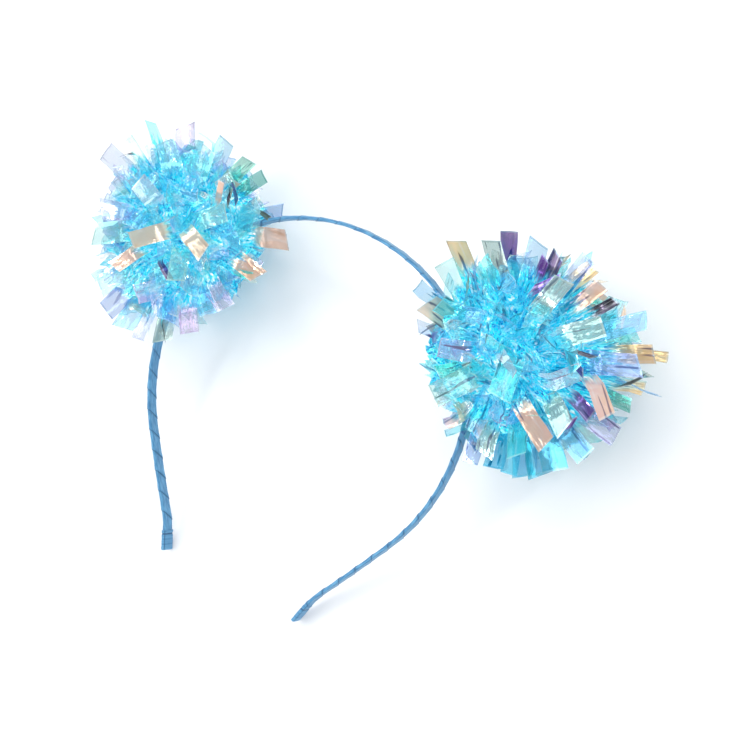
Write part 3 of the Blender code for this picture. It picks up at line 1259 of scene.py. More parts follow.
SOFT = Ranges()
SHARP = Ranges(bend=(48, 100), bend_start=(0.38, 0.76))
SHRED = Ranges(width=(2.2, 4.6), pleat=(0.6, 1.6), stretch=(0.55, 0.9))
CURL = Ranges(width=(5.4, 8.4), crumple=(0.8, 1.5), bend=(55, 110))
PLACED = Ranges(twist=(-18, 18), pleat=(0.1, 0.6), slant=(-1.7, 1.7), crumple=(0.12, 0.4))


@dataclass
class Strip:
    """One strip of film: straight out of the heart, through a bend, and straight on to its end.

    Lengths are in metres and angles in radians. The bend and the fade start and end at shares of the
    length, and the shade is the tint's place in the finish's ramp.
    """

    root: Vector
    direction: Vector
    bend_way: Vector
    length: float
    bend_start: float
    bend_end: float
    bend: float
    width: float
    twist: float
    pleat: float
    slant: float
    crumple: float
    shade: float
    pale: float
    shift: float
    fade_start: float
    fade_end: float
    seed: float

    def centre(self, share: float) -> Vector:
        """Finds a place on the strip's middle line.

        Args:
            share: From 0 at the root to 1 at the end.

        Returns:
            The place.
        """
        run = min(max(share - self.bend_start, 0.0), self.bend_end - self.bend_start)
        turned = self.bend * run / (self.bend_end - self.bend_start)
        radius = self.length * (self.bend_end - self.bend_start) / self.bend
        tail = self.length * max(share - self.bend_end, 0.0)
        ahead = self.length * min(share, self.bend_start) + radius * math.sin(turned)
        aside = radius * (1 - math.cos(turned))
        ahead += tail * math.cos(self.bend)
        aside += tail * math.sin(self.bend)
        return self.root + self.direction * ahead + self.bend_way * aside


class StripTree(ShapeTree):
    """The tree that makes a pleated strip of film at each point, from the point's attributes."""

    calm_below: ClassVar[float] = 0.5
    full_width_at: ClassVar[float] = 0.55
    pleats_gone_at: ClassVar[float] = 1.25
    full_crumple_at: ClassVar[float] = 0.4
    root_crumple: ClassVar[float] = 0.3
    apart: ClassVar[float] = 3.0
    apart_way: ClassVar[tuple[float, float, float]] = (1.0, 0.7, 0.3)
    off_floor: ClassVar[float] = 0.3 * MM
    uneven_pleats: ClassVar[float] = 0.9

    def __init__(self) -> None:
        """Builds the tree."""
        super().__init__("film_strips")
        columns, rows = self.size("Columns", "Int"), self.size("Rows", "Int")
        gather, crinkle, crinkle_size = (self.size(name) for name in ("Gather", "Crinkle", "Crinkle size"))
        film = self.size("Material", "Material")
        sheet = self.add("GeometryNodeMeshGrid", {0: 2.0, 1: 1.0, 2: columns, 3: rows}).outputs[0]
        corner = self.add("ShaderNodeSeparateXYZ", {0: self.add("GeometryNodeInputPosition").outputs[0]})
        sheet = self.keep(sheet, "across", corner.outputs[0])
        sheet = self.keep(sheet, "along", self.math("ADD", corner.outputs[1], 0.5))
        spread = self.add("GeometryNodeInstanceOnPoints", {"Points": self.geometry, "Instance": sheet})
        real = self.add("GeometryNodeRealizeInstances", {"Geometry": spread.outputs[0]}).outputs[0]
        bent = self.moved(real, self.place(gather, crinkle, crinkle_size))
        calm = self.math("LESS_THAN", self.read("crumple"), self.calm_below)
        inputs = {"Geometry": bent, "Selection": calm, "Shade Smooth": True}
        self.close(self.add("GeometryNodeSetShadeSmooth", inputs).outputs[0], film)

    def place(self, gather: Socket, crinkle: Socket, crinkle_size: Socket) -> Socket:
        """Works out where each point of each strip goes.

        Args:
            gather: The root's width as a share of the strip's.
            crinkle: How far crumples push a point.
            crinkle_size: How long a crumple is.

        Returns:
            The position's socket.
        """
        across, along, seed = self.read("across"), self.read("along"), self.read("seed")
        length, start, end = self.read("length"), self.read("bend_start"), self.read("bend_end")
        bend = self.read("bend")
        way, aside = self.read("direction", "FLOAT_VECTOR"), self.read("bend_way", "FLOAT_VECTOR")
        span = self.math("SUBTRACT", end, start)
        run = self.math("MINIMUM", self.math("MAXIMUM", self.math("SUBTRACT", along, start), 0.0), span)
        turned = self.math("DIVIDE", self.math("MULTIPLY", bend, run), span)
        radius = self.math("DIVIDE", self.math("MULTIPLY", length, span), bend)
        tail = self.math("MULTIPLY", length, self.math("MAXIMUM", self.math("SUBTRACT", along, end), 0.0))
        cos, sin = self.math("COSINE", turned), self.math("SINE", turned)
        ahead = self.math("MULTIPLY", length, self.math("MINIMUM", along, start))
        ahead = self.math("ADD", ahead, self.math("MULTIPLY", radius, sin))
        ahead = self.math("ADD", ahead, self.math("MULTIPLY", tail, self.math("COSINE", bend)))
        off = self.math("MULTIPLY", radius, self.math("SUBTRACT", 1.0, cos))
        off = self.math("ADD", off, self.math("MULTIPLY", tail, self.math("SINE", bend)))
        tangent = self.vector("ADD", self.scaled(way, cos), self.scaled(aside, sin))
        facing = self.vector("SUBTRACT", self.scaled(aside, cos), self.scaled(way, sin))
        side = self.vector("CROSS_PRODUCT", tangent, facing)
        twist = self.math("MULTIPLY", self.read("twist"), along)
        cos, sin = self.math("COSINE", twist), self.math("SINE", twist)
        turned_side = self.vector("ADD", self.scaled(side, cos), self.scaled(facing, sin))
        turned_face = self.vector("SUBTRACT", self.scaled(facing, cos), self.scaled(side, sin))
        gathered = self.between(along, 0.0, self.full_width_at, gather, 1.0)
        broad = self.math("MULTIPLY", self.read("width"), gathered)
        half = self.math("MULTIPLY", self.math("MULTIPLY", broad, 0.5), across)
        depth = self.math("MULTIPLY", self.pleats(across, seed), self.read("pleat"))
        depth = self.math("MULTIPLY", depth, self.math("SUBTRACT", self.pleats_gone_at, along))
        slant = self.math("MULTIPLY", self.math("MULTIPLY", self.read("slant"), across), along)
        flat = self.total(
            self.read("root", "FLOAT_VECTOR"),
            self.scaled(way, ahead),
            self.scaled(aside, off),
            self.scaled(turned_side, half),
            self.scaled(turned_face, depth),
            self.scaled(tangent, slant),
        )
        own = self.scaled(self.apart_way, self.math("MULTIPLY", seed, self.apart))
        apart = self.vector("ADD", flat, own)
        inputs = {"Vector": apart, "Scale": self.math("DIVIDE", 1.0, crinkle_size), "Detail": 1.0}
        wave = self.add("ShaderNodeTexNoise", inputs).outputs[1]
        push = self.vector("SUBTRACT", wave, (0.5, 0.5, 0.5))
        size = self.math("MULTIPLY", crinkle, self.read("crumple"))
        eased = self.between(along, 0.0, self.full_crumple_at, self.root_crumple, 1.0)
        size = self.math("MULTIPLY", size, eased)
        crumpled = self.vector("ADD", flat, self.scaled(push, size))
        parts = self.add("ShaderNodeSeparateXYZ", {0: crumpled}).outputs
        kept = self.math("MAXIMUM", parts[2], self.math("MULTIPLY", seed, self.off_floor))
        return self.add("ShaderNodeCombineXYZ", {0: parts[0], 1: parts[1], 2: kept}).outputs[0]

    def pleats(self, across: Socket, seed: Socket) -> Socket:
        """Folds the strip lengthwise, to and fro from column to column, each by its own share.

        Args:
            across: Where a point is across the strip, from -1 to 1.
            seed: The strip's own number.

        Returns:
            The fold's height, as a share of the pleats' depth.
        """
        column = self.math("MULTIPLY", self.math("ADD", across, 1.0), 2.0)
        zigzag = self.math("SUBTRACT", self.math("PINGPONG", column, 1.0), 0.5)
        own = self.math("MULTIPLY", seed, 91.0)
        spot = self.add("ShaderNodeCombineXYZ", {0: self.math("ROUND", column), 1: own})
        chance = self.add("ShaderNodeTexWhiteNoise", {"Vector": spot.outputs[0]}, noise_dimensions="2D")
        uneven = self.math("SUBTRACT", chance.outputs[0], 0.5)
        uneven = self.math("MULTIPLY", uneven, self.uneven_pleats)
        return self.math("ADD", zigzag, uneven)


@dataclass
class Pompom:
    """A pompom: a crumpled heart tied round the band, with its strips of film."""

    line: BandLine
    view: PhotoView
    node: str
    side: int
    tie_distance: float
    ball_radius: float
    ball_offset: float
    seed: int
    finish: FilmFinish
    patches: tuple[Patch, ...]
    outline: tuple[float, ...]
    front: float = 0.6
    neutral: bool = False
    pale_from: float = -1.0
    heart_radius: float = 18.0 * MM
    heart_offset: float = 13.0 * MM
    strips: int = 400
    shreds: int = 130
    curls: int = 300
    root_depth: float = 8.0 * MM
    band_room: float = 0.3 * MM
    band_width: float = 5.0 * MM
    band_thickness: float = 1.2 * MM
    band_step: float = 1.5 * MM
    pleated: float = 0.22
    passage_points: int = 61
    front_sharp: float = 0.58
    side_sharp: float = 0.34
    sharp_arc: float = 0.08
    soft_arc: Range = (0.15, 0.35)
    fade: Range = (0.50, 0.92)
    shift: float = 0.75
    curl_depth: float = 4.0 * MM
    curl_straight: Range = (4, 10)
    curl_arc: Range = (1.5, 3)
    curl_tail: Range = (5, 10)
    pale_curl: float = 0.85
    pale_curl_fade: Range = (0.25, 0.65)
    patch_reach: float = 0.95
    patch_bend: float = 4.0 * MM
    patch_fade: float = 0.16
    patch_shift: float = 0.15
    patch_margin: float = 4.5 * MM
    patch_behind: float = 1.0 * MM
    columns: int = 5
    rows: int = 10
    gather: float = 0.45
    crinkle: float = 3.8 * MM
    crinkle_size: float = 7.0 * MM
    checked: ClassVar[tuple[float, ...]] = (0.3, 0.4, 0.5, 0.6, 0.7, 0.8, 0.9, 1.0)
    ends: ClassVar[tuple[float, ...]] = (0.6, 0.8, 1.0)
    shred_tints: ClassVar[tuple[Tint, ...]] = (Tint.AQUA, Tint.PALE_CYAN, Tint.SILVER, Tint.SKY)

    @property
    def tie(self) -> Spot:
        """Where it is tied to the band."""
        return self.line.spot(self.side * self.tie_distance)

    @property
    def heart(self) -> Vector:
        """The heart's middle."""
        return self.tie.point + self.tie.outward * self.heart_offset

    @property
    def middle(self) -> Vector:
        """The middle of the ball that the strips' ends reach."""
        return self.tie.point + self.tie.outward * self.ball_offset

    def outline_share(self, direction: Vector) -> float:
        """Finds how much longer or shorter the strips are in a direction, by the photograph's outline.

        Args:
            direction: Away from the heart's middle.

        Returns:
            The strips' reach as a share of the ball's.
        """
        right, up = self.view.axes
        beside, above = direction.dot(right), direction.dot(up)
        place = math.atan2(above, beside) / (2 * math.pi) % 1 * len(self.outline)
        low = self.outline[int(place) % len(self.outline)]
        high = self.outline[(int(place) + 1) % len(self.outline)]
        share = low + (high - low) * (place - int(place))
        return 1 + (share - 1) * (beside * beside + above * above)

    def reach(self, direction: Vector) -> float:
        """Finds how far the strips reach in a direction.

        Args:
            direction: Away from the heart's middle.

        Returns:
            The distance from the heart's middle to the ball, or to the floor where that is nearer.
        """
        shift = self.heart - self.middle
        ahead = shift.dot(direction)
        far = -ahead + math.sqrt(ahead * ahead - shift.length_squared + self.ball_radius**2)
        far *= self.outline_share(direction)
        if direction.z < 0:
            far = min(far, self.heart.z / -direction.z)
        return far

    def near_band(self) -> list[Spot]:
        """Finds places along the band where it passes through the pompom.

        Returns:
            The places, evenly spaced.
        """
        half = 2 * self.ball_radius
        runs = self.passage_points - 1
        ways = [self.tie_distance - half + 2 * half * k / runs for k in range(self.passage_points)]
        return [self.line.spot(self.side * way) for way in ways]

    def clears(self, strip: Strip, band: tuple[np.ndarray, np.ndarray, np.ndarray]) -> bool:
        """Says whether a strip stays off the band outside the heart.

        Args:
            strip: The strip.
            band: Places on the band, and its directions along and outward there.

        Returns:
            True if it does.
        """
        points, along, outward = band
        for share in self.checked:
            place = strip.centre(share)
            if (place - self.heart).length < self.heart_radius:
                continue
            away = np.array(place) - points
            room = strip.width * self.pleated + self.band_room
            level = np.abs((away * along).sum(1)) < room + self.band_step
            beside = np.abs(away @ np.array(self.line.rise)) - self.band_width / 2 < room
            over = np.abs((away * outward).sum(1)) - self.band_thickness / 2 < room
            if (level & beside & over).any():
                return False
        return True

    def directions(self, count: int, chance: random.Random) -> Iterable[Vector]:
        """Spreads directions evenly over a ball, each nudged a little.

        Args:
            count: How many there are.
            chance: The source of the nudges.

        Returns:
            The directions, from the top down.
        """
        golden = math.pi * (3 - math.sqrt(5))
        nudge = 1.3 / math.sqrt(count)
        for k in range(count):
            height = 1 - 2 * (k + 0.5) / count
            ring = math.sqrt(1 - height * height)
            base = Vector((ring * math.cos(golden * k), ring * math.sin(golden * k), height))
            yield (base + Vector([chance.uniform(-nudge, nudge) for _ in range(3)])).normalized()

    def loose_strip(self, direction: Vector, chance: random.Random) -> Strip:
        """Lays out a strip that reaches the ball, bent and turned at random.

        Args:
            direction: The strip's way out of the heart.
            chance: The source of its sizes.

        Returns:
            The strip.
        """
        start = self.heart_radius - self.root_depth
        length = (self.reach(direction) - start) * chance.uniform(*SOFT.stretch)
        turn = Matrix.Rotation(chance.uniform(0, 2 * math.pi), 3, direction)
        often = self.front_sharp if direction.dot(self.view.back) > self.front else self.side_sharp
        sharp = chance.random() < often
        sizes = SHARP if sharp else SOFT
        bend_start = chance.uniform(*sizes.bend_start)
        return Strip(
            root=self.heart + direction * start,
            direction=direction,
            bend_way=turn @ direction.orthogonal().normalized(),
            length=length,
            bend_start=bend_start,
            bend_end=bend_start + (self.sharp_arc if sharp else chance.uniform(*self.soft_arc)),
            bend=math.radians(chance.uniform(*sizes.bend)),
            width=chance.uniform(*sizes.width) * MM,
            twist=math.radians(chance.uniform(*sizes.twist)),
            pleat=chance.uniform(*sizes.pleat) * MM,
            slant=chance.uniform(*sizes.slant) * MM,
            crumple=chance.uniform(*sizes.crumple),
            shade=chance.choice(self.tints(direction)).shade,
            pale=1.0,
            shift=self.shift,
            fade_start=self.fade[0],
            fade_end=self.fade[1],
            seed=chance.random(),
        )

    def shred(self, direction: Vector, chance: random.Random) -> Strip:
        """Lays out a narrow, strongly coloured strip that fills the pompom between the long ones.

        Args:
            direction: The strip's way out of the heart.
            chance: The source of its sizes.

        Returns:
            The strip.
        """
        strip = self.loose_strip(direction, chance)
        strip.length *= chance.uniform(*SHRED.stretch)
        strip.width = chance.uniform(*SHRED.width) * MM
        strip.pleat = chance.uniform(*SHRED.pleat) * MM
        strip.shade = chance.choice(self.shred_tints).shade
        strip.pale = chance.choice((0.0, 0.2, 0.5, 0.8))
        return strip

    def curl(self, direction: Vector, chance: random.Random) -> Strip:
        """Lays out a short crumpled strip that is folded over the heart.

        Args:
            direction: The strip's way out of the heart.
            chance: The source of its sizes.

        Returns:
            The strip.
        """
        strip = self.loose_strip(direction, chance)
        start = self.heart_radius - self.curl_depth
        parts = (self.curl_straight, self.curl_arc, self.curl_tail)
        straight, arc, tail = (chance.uniform(*part) * MM for part in parts)
        straight = max(min(straight, self.reach(direction) - start - 5.0 * MM), 1.0 * MM)
        strip.root = self.heart + direction * start
        strip.length = straight + arc + tail
        strip.bend_start = straight / strip.length
        strip.bend_end = (straight + arc) / strip.length
        strip.bend = math.radians(chance.uniform(*CURL.bend))
        strip.width = chance.uniform(*CURL.width) * MM
        strip.crumple = chance.uniform(*CURL.crumple)
        strip.pale = chance.choice((0.0, 0.0, 0.0, 0.25, 0.5))
        if self.is_pale(direction):
            strip.pale = self.pale_curl
            strip.fade_start, strip.fade_end = self.pale_curl_fade
        return strip

    def patch_strip(self, patch: Patch, chance: random.Random) -> Strip:
        """Lays out a strip whose end lies where the photograph shows it, facing the camera.

        Args:
            patch: The end's place, size and tint.
            chance: The source of its small unevenness.

        Returns:
            The strip.
        """
        right, up = self.view.axes
        back = self.view.back
        target = self.view.meet(patch.x, patch.y, self.middle, self.ball_radius * self.patch_reach)
        away = target - self.heart
        if patch.angle is None:
            lie = (right * away.dot(right) + up * away.dot(up)).normalized()
        else:
            turn = math.radians(patch.angle)
            lie = right * math.cos(turn) + up * math.sin(turn)
        length = patch.length * MM
        knee = target - lie * (length / 2)
        direction = (knee - self.heart).normalized()
        bend = direction.angle(lie)
        bend_way = (lie - direction * lie.dot(direction)).normalized()
        if bend < math.radians(20):
            bend = math.radians(4)
            bend_way = (back - direction * back.dot(direction)).normalized()
        start = self.heart_radius - self.root_depth
        arc = self.patch_bend
        straight = max((knee - self.heart).length - start - arc * 0.6, 2 * MM)
        whole = straight + arc + length
        bend_end = (straight + arc) / whole
        return Strip(
            root=self.heart + direction * start,
            direction=direction,
            bend_way=bend_way,
            length=whole,
            bend_start=straight / whole,
            bend_end=bend_end,
            bend=bend,
            width=patch.width * MM,
            twist=math.radians(chance.uniform(*PLACED.twist)),
            pleat=chance.uniform(*PLACED.pleat) * MM,
            slant=chance.uniform(*PLACED.slant) * MM,
            crumple=chance.uniform(*PLACED.crumple),
            shade=patch.tint.shade,
            pale=1.0,
            shift=self.patch_shift,
            fade_start=bend_end - self.patch_fade,
            fade_end=bend_end,
            seed=chance.random(),
        )

    def hides_patch(self, strip: Strip, shown: list[Vector]) -> bool:
        """Says whether a strip's end lies in front of one of the patches.

        Args:
            strip: The strip.
            shown: The middles of the patches.

        Returns:
            True if it does.
        """
        right, up = self.view.axes
        for share in self.ends:
            end = strip.centre(share)
            for target in shown:
                away = end - target
                beside = math.hypot(away.dot(right), away.dot(up))
                if beside < self.patch_margin and away.dot(self.view.back) > -self.patch_behind:
                    return True
        return False

    def plan(self) -> list[Strip]:
        """Lays out every strip of the pompom.

        Returns:
            The strips, those that the photograph shows first.
        """
        chance = random.Random(self.seed)
        spots = self.near_band()
        keys = ("point", "along", "outward")
        band = tuple(np.array([list(getattr(spot, key)) for spot in spots]) for key in keys)
        strips = [self.patch_strip(patch, chance) for patch in self.patches]
        shown = []
        for strip, patch in zip(strips, self.patches):
            shown.append(strip.centre(1 - 0.4 * patch.length * MM / strip.length))
        kinds = ((self.loose_strip, self.strips), (self.shred, self.shreds), (self.curl, self.curls))
        for make, count in kinds:
            for direction in self.directions(count, chance):
                strip = make(direction, chance)
                if self.clears(strip, band) and not self.hides_patch(strip, shown):
                    strips.append(strip)
        return strips

    def is_pale(self, direction: Vector) -> bool:
        """Says whether the strips in a direction are pale, as on the left pompom's outer side."""
        return direction.dot(self.view.axes[0]) < self.pale_from

    def tints(self, direction: Vector) -> list[Tint]:
        """Lists the tints that a strip laid out at random may get, each as often as it shows.

        Args:
            direction: The strip's way out of the heart.

        Returns:
            The tints, some of them more than once.
        """
        if self.is_pale(direction):
            return [Tint.SILVER, Tint.LAVENDER, Tint.PALE_CYAN, Tint.MINT, Tint.SILVER, Tint.PINK]
        if direction.dot(self.view.back) > self.front:
            return [Tint.AQUA, Tint.AQUA, Tint.AQUA, Tint.PALE_CYAN, Tint.SKY, Tint.MINT, Tint.SILVER]
        often = {
            Tint.LAVENDER: 7,
            Tint.PALE_CYAN: 9,
            Tint.MINT: 5,
            Tint.BEIGE: 1,
            Tint.PEACH: 1,
            Tint.PINK: 2,
            Tint.SKY: 6,
            Tint.AQUA: 9,
            Tint.SILVER: 6,
            Tint.GREY_MINT: 1,
            Tint.PERIWINKLE: 3,
        }
        if self.neutral:
            often |= {
                Tint.BEIGE: 5,
                Tint.PEACH: 4,
                Tint.GREY_MINT: 7,
                Tint.SKY: 1,
                Tint.AQUA: 4,
                Tint.SILVER: 10,
                Tint.PERIWINKLE: 2,
                Tint.GOLD: 2,
                Tint.TEAL: 3,
                Tint.PURPLE: 1,
            }
        return [tint for tint, count in often.items() for _ in range(count)]

    def points(self, strips: list[Strip]) -> bpy.types.Mesh:
        """Stores each strip's sizes on a point of a mesh.

        Args:
            strips: The strips.

        Returns:
            The mesh, which has points alone.
        """
        mesh = bpy.data.meshes.new(self.node + "_plan")
        mesh.vertices.add(len(strips))
        for name in ("root", "direction", "bend_way"):
            layer = mesh.attributes.new(name, "FLOAT_VECTOR", "POINT")
            layer.data.foreach_set("vector", [value for strip in strips for value in getattr(strip, name)])
        plain = ("length", "bend_start", "bend_end", "bend", "width", "twist", "pleat", "slant", "crumple")
        for name in plain + ("shade", "pale", "shift", "fade_start", "fade_end", "seed"):
            layer = mesh.attributes.new(name, "FLOAT", "POINT")
            layer.data.foreach_set("value", [getattr(strip, name) for strip in strips])
        return mesh

    def build(self) -> None:
        """Makes the strips and the heart, and dresses both."""
        values = {
            "Columns": self.columns,
            "Rows": self.rows,
            "Gather": self.gather,
            "Crinkle": self.crinkle,
            "Crinkle size": self.crinkle_size,
            "Material": self.finish.material(),
        }
        piece = StripTree().shape(self.node + "_strips", self.points(self.plan()), values)
        report(piece, "film", self.node)
        report(CrumpledHeart(self).build(), "film", self.node)


@dataclass
class CrumpledHeart:
    """The pompom's heart: film crumpled into a ball, with a way through it for the band."""

    pompom: Pompom
    lump: float = 3.4 * MM
    lump_size: float = 6.0 * MM
    crease: float = 1.3 * MM
    crease_size: float = 2.6 * MM
    ridge: float = 2.4
    room: float = 0.5 * MM
    clearance: float = 0.5 * MM
    subdivisions: int = 6
    steps: int = 8

    def ball(self) -> bpy.types.Object:
        """Models the crumpled ball.

        Returns:
            The ball, in its finish.
        """
        pompom = self.pompom
        bm = bmesh.new()
        bmesh.ops.create_icosphere(bm, subdivisions=self.subdivisions, radius=pompom.heart_radius)
        shift = Vector((pompom.seed, 0, 0))
        for vertex in bm.verts:
            where = vertex.co / self.lump_size + shift
            fine = vertex.co / self.crease_size + shift
            lump = noise.noise(where) * self.lump
            crease = (1 - abs(noise.noise(fine)) * self.ridge) * self.crease
            vertex.co += vertex.co.normalized() * (lump + crease)
            vertex.co += pompom.heart
            vertex.co.z = max(vertex.co.z, self.clearance)
        name = pompom.node + "_heart"
        mesh = finished(name, bm)
        mesh.materials.append(HeartFinish(name).material())
        return linked(name, mesh)

    def channel(self) -> bpy.types.Object:
        """Models the shape that opens the way for the band.

        Returns:
            A closed bar of four sides that follows the band through the ball.
        """
        pompom = self.pompom
        bm = bmesh.new()
        half = pompom.heart_radius + self.lump + self.crease
        wide = pompom.band_width / 2 + self.room
        thick = pompom.band_thickness / 2 + self.room
        rings = []
        for k in range(self.steps + 1):
            distance = pompom.tie_distance - half + 2 * half * k / self.steps
            spot = pompom.line.spot(pompom.side * distance)
            ring = []
            for out, rise in ((-thick, -wide), (thick, -wide), (thick, wide), (-thick, wide)):
                ring.append(bm.verts.new(spot.point + spot.outward * out + pompom.line.rise * rise))
            rings.append(ring)
        for first, second in zip(rings, rings[1:]):
            for k in range(4):
                bm.faces.new((first[k], first[(k + 1) % 4], second[(k + 1) % 4], second[k]))
        bm.faces.new(rings[0])
        bm.faces.new(rings[-1])
        bmesh.ops.recalc_face_normals(bm, faces=bm.faces)
        bmesh.ops.triangulate(bm, faces=bm.faces)
        return linked("channel", finished("channel", bm))

    def build(self) -> bpy.types.Object:
        """Cuts the channel through the ball.

        Returns:
            The heart, with no modifier.
        """
        piece, cutter = self.ball(), self.channel()
        modifier = piece.modifiers.new("channel", "BOOLEAN")
        modifier.operation = "DIFFERENCE"
        modifier.object = cutter
        piece.data = evaluated(piece, modifier)
        bpy.data.objects.remove(cutter)
        return piece


@dataclass(frozen=True)
class Lamp:
    """A square lamp that points at the headband's middle: metres and watts."""

    name: str
    place: tuple[float, float, float]
    size: float
    power: float

    def hang(self) -> None:
        """Puts the lamp into the scene."""
        data = bpy.data.lights.new(self.name, "AREA")
        data.size = self.size
        data.energy = self.power
        lamp = linked(self.name, data)
        lamp.location = self.place
        lamp.rotation_euler = Vector(self.place).to_track_quat("Z", "Y").to_euler()


@dataclass(frozen=True)
class Studio:
    """A plain pale floor and soft light, with small bright lamps that make the film glint."""

    floor_size: float = 40.0
    floor: Rgb = (250, 250, 251)
    grain: Rgb = (246, 247, 249)
    plain_sky: float = 0.90
    dim_sky: float = 0.38
    bright_sky: float = 2.8
    film_layers: int = 16
    lamps: ClassVar[tuple[Lamp, ...]] = (
        Lamp("key", (-0.40, 0.30, 0.80), 0.30, 1.3),
        Lamp("left_spark", (-0.55, -0.20, 0.60), 0.06, 0.5),
        Lamp("right_spark", (0.50, 0.35, 0.70), 0.06, 0.5),
        Lamp("top_spark", (0.15, -0.15, 0.95), 0.08, 0.35),
    )

    def build(self) -> None:
        """Makes the floor, the lamps and the world's light."""
        bm = bmesh.new()
        bmesh.ops.create_grid(bm, x_segments=1, y_segments=1, size=self.floor_size / 2)
        mesh = finished("floor", bm)
        paint = Paint("pale_floor", Roughness=0.9, Specular_IOR_Level=0.1)
        grain = paint.spread(paint.place(), 30.0, 2.0)
        tone = paint.blend(grain, linear(self.floor), linear(self.grain))
        paint.feed(paint.shader.inputs["Base Color"], tone)
        mesh.materials.append(paint.material)
        linked("floor", mesh)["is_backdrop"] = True
        for lamp in self.lamps:
            lamp.hang()
        bpy.context.scene.world = self.sky()
        bpy.context.scene.view_settings.view_transform = "Standard"
        bpy.context.scene.cycles.transparent_max_bounces = self.film_layers

    def sky(self) -> bpy.types.World:
        """Lights the room evenly near the horizon and in broad soft patches overhead.

        Returns:
            The world.
        """
        world = bpy.data.worlds.new("studio")
        world.use_nodes = True
        graph = Graph(world.node_tree)
        way = graph.add("ShaderNodeTexCoord").outputs["Generated"]
        high = graph.between(graph.add("ShaderNodeSeparateXYZ", {0: way}).outputs[2], 0.35, 0.55)
        wave = graph.add("ShaderNodeTexNoise", {"Vector": way, "Scale": 3.2, "Detail": 1.0}).outputs[0]
        patches = graph.between(wave, 0.52, 0.57, self.dim_sky, self.bright_sky)
        level = graph.add("ShaderNodeMix", {0: high, 2: self.plain_sky, 3: patches}).outputs[0]
        graph.feed(world.node_tree.nodes["Background"].inputs["Strength"], level)
        graph.feed(world.node_tree.nodes["Background"].inputs["Color"], (1.0, 1.0, 1.0, 1.0))
        return world


# Rows in the navy and near-black tints are painted dark reflections.
LEFT_PATCHES = (
    Patch(131, 153, Tint.DUSK, 1.6, 3.0, 200),
    Patch(210, 139, Tint.GREY_MINT, 4.0, 5.0, 150),
    Patch(233, 188, Tint.NAVY, 1.5, 6.0, -80),
    Patch(230, 190, Tint.DUSK, 1.2, 5.0, -105),
    Patch(261, 212, Tint.DUSK, 2.4, 4.0, -35),
    Patch(277, 232, Tint.DUSK, 1.8, 4.0, -20),
    Patch(242, 274, Tint.TEAL, 3.0, 4.0, -10),
    Patch(163, 328, Tint.DUSK, 2.8, 5.0, -80),
    Patch(150, 196, Tint.SILVER, 7.0, 9.0, 130),
    Patch(170, 160, Tint.PALE_CYAN, 7.5, 10.0, 105),
    Patch(200, 165, Tint.PALE_CYAN, 7.5, 10.0, 70),
    Patch(243, 226, Tint.AQUA, 7.0, 9.0, 70),
    Patch(256, 219, Tint.PALE_CYAN, 5.5, 7.0, 85),
    Patch(230, 240, Tint.SKY, 6.5, 8.0, -75),
    Patch(192, 238, Tint.BEIGE, 6.4, 8.4, -52),
    Patch(154, 234, Tint.BEIGE, 6.2, 12.0, 196),
    Patch(179, 262, Tint.MINT, 6.5, 9.0, -100),
    Patch(209, 218, Tint.MINT, 6.5, 8.0, 20),
    Patch(163, 267, Tint.NAVY, 3.0, 6.0, -60),
    Patch(219, 196, Tint.PEACH, 2.6, 6.0, 80),
    Patch(186, 141, Tint.PINK, 7.2, 8.0),
    Patch(154, 132, Tint.AQUA, 4.0, 5.0),
    Patch(117, 162, Tint.LAVENDER, 7.6, 8.0),
    Patch(135, 149, Tint.MINT, 4.0, 6.0),
    Patch(221, 154, Tint.SKY, 6.6, 8.0),
    Patch(238, 171, Tint.TEAL, 6.0, 8.0),
    Patch(251, 184, Tint.TEAL, 5.0, 8.0),
    Patch(273, 212, Tint.PERIWINKLE, 4.6, 5.0),
    Patch(270, 238, Tint.PEACH, 7.6, 9.0),
    Patch(246, 266, Tint.PEACH, 6.6, 8.0, -40),
    Patch(117, 212, Tint.LAVENDER, 7.4, 8.0),
    Patch(113, 232, Tint.MINT, 7.8, 10.0),
    Patch(129, 257, Tint.PEACH, 5.0, 9.0),
    Patch(114, 276, Tint.PALE_CYAN, 7.8, 10.0),
    Patch(118, 300, Tint.PERIWINKLE, 7.6, 9.0),
    Patch(131, 316, Tint.SKY, 7.6, 8.0),
    Patch(144, 326, Tint.LAVENDER, 5.0, 8.0),
    Patch(165, 327, Tint.GREY_MINT, 6.8, 8.0),
    Patch(188, 317, Tint.PINK, 7.2, 8.0),
    Patch(203, 299, Tint.SKY, 6.6, 8.0),
    Patch(217, 294, Tint.LAVENDER, 7.0, 8.0),
)

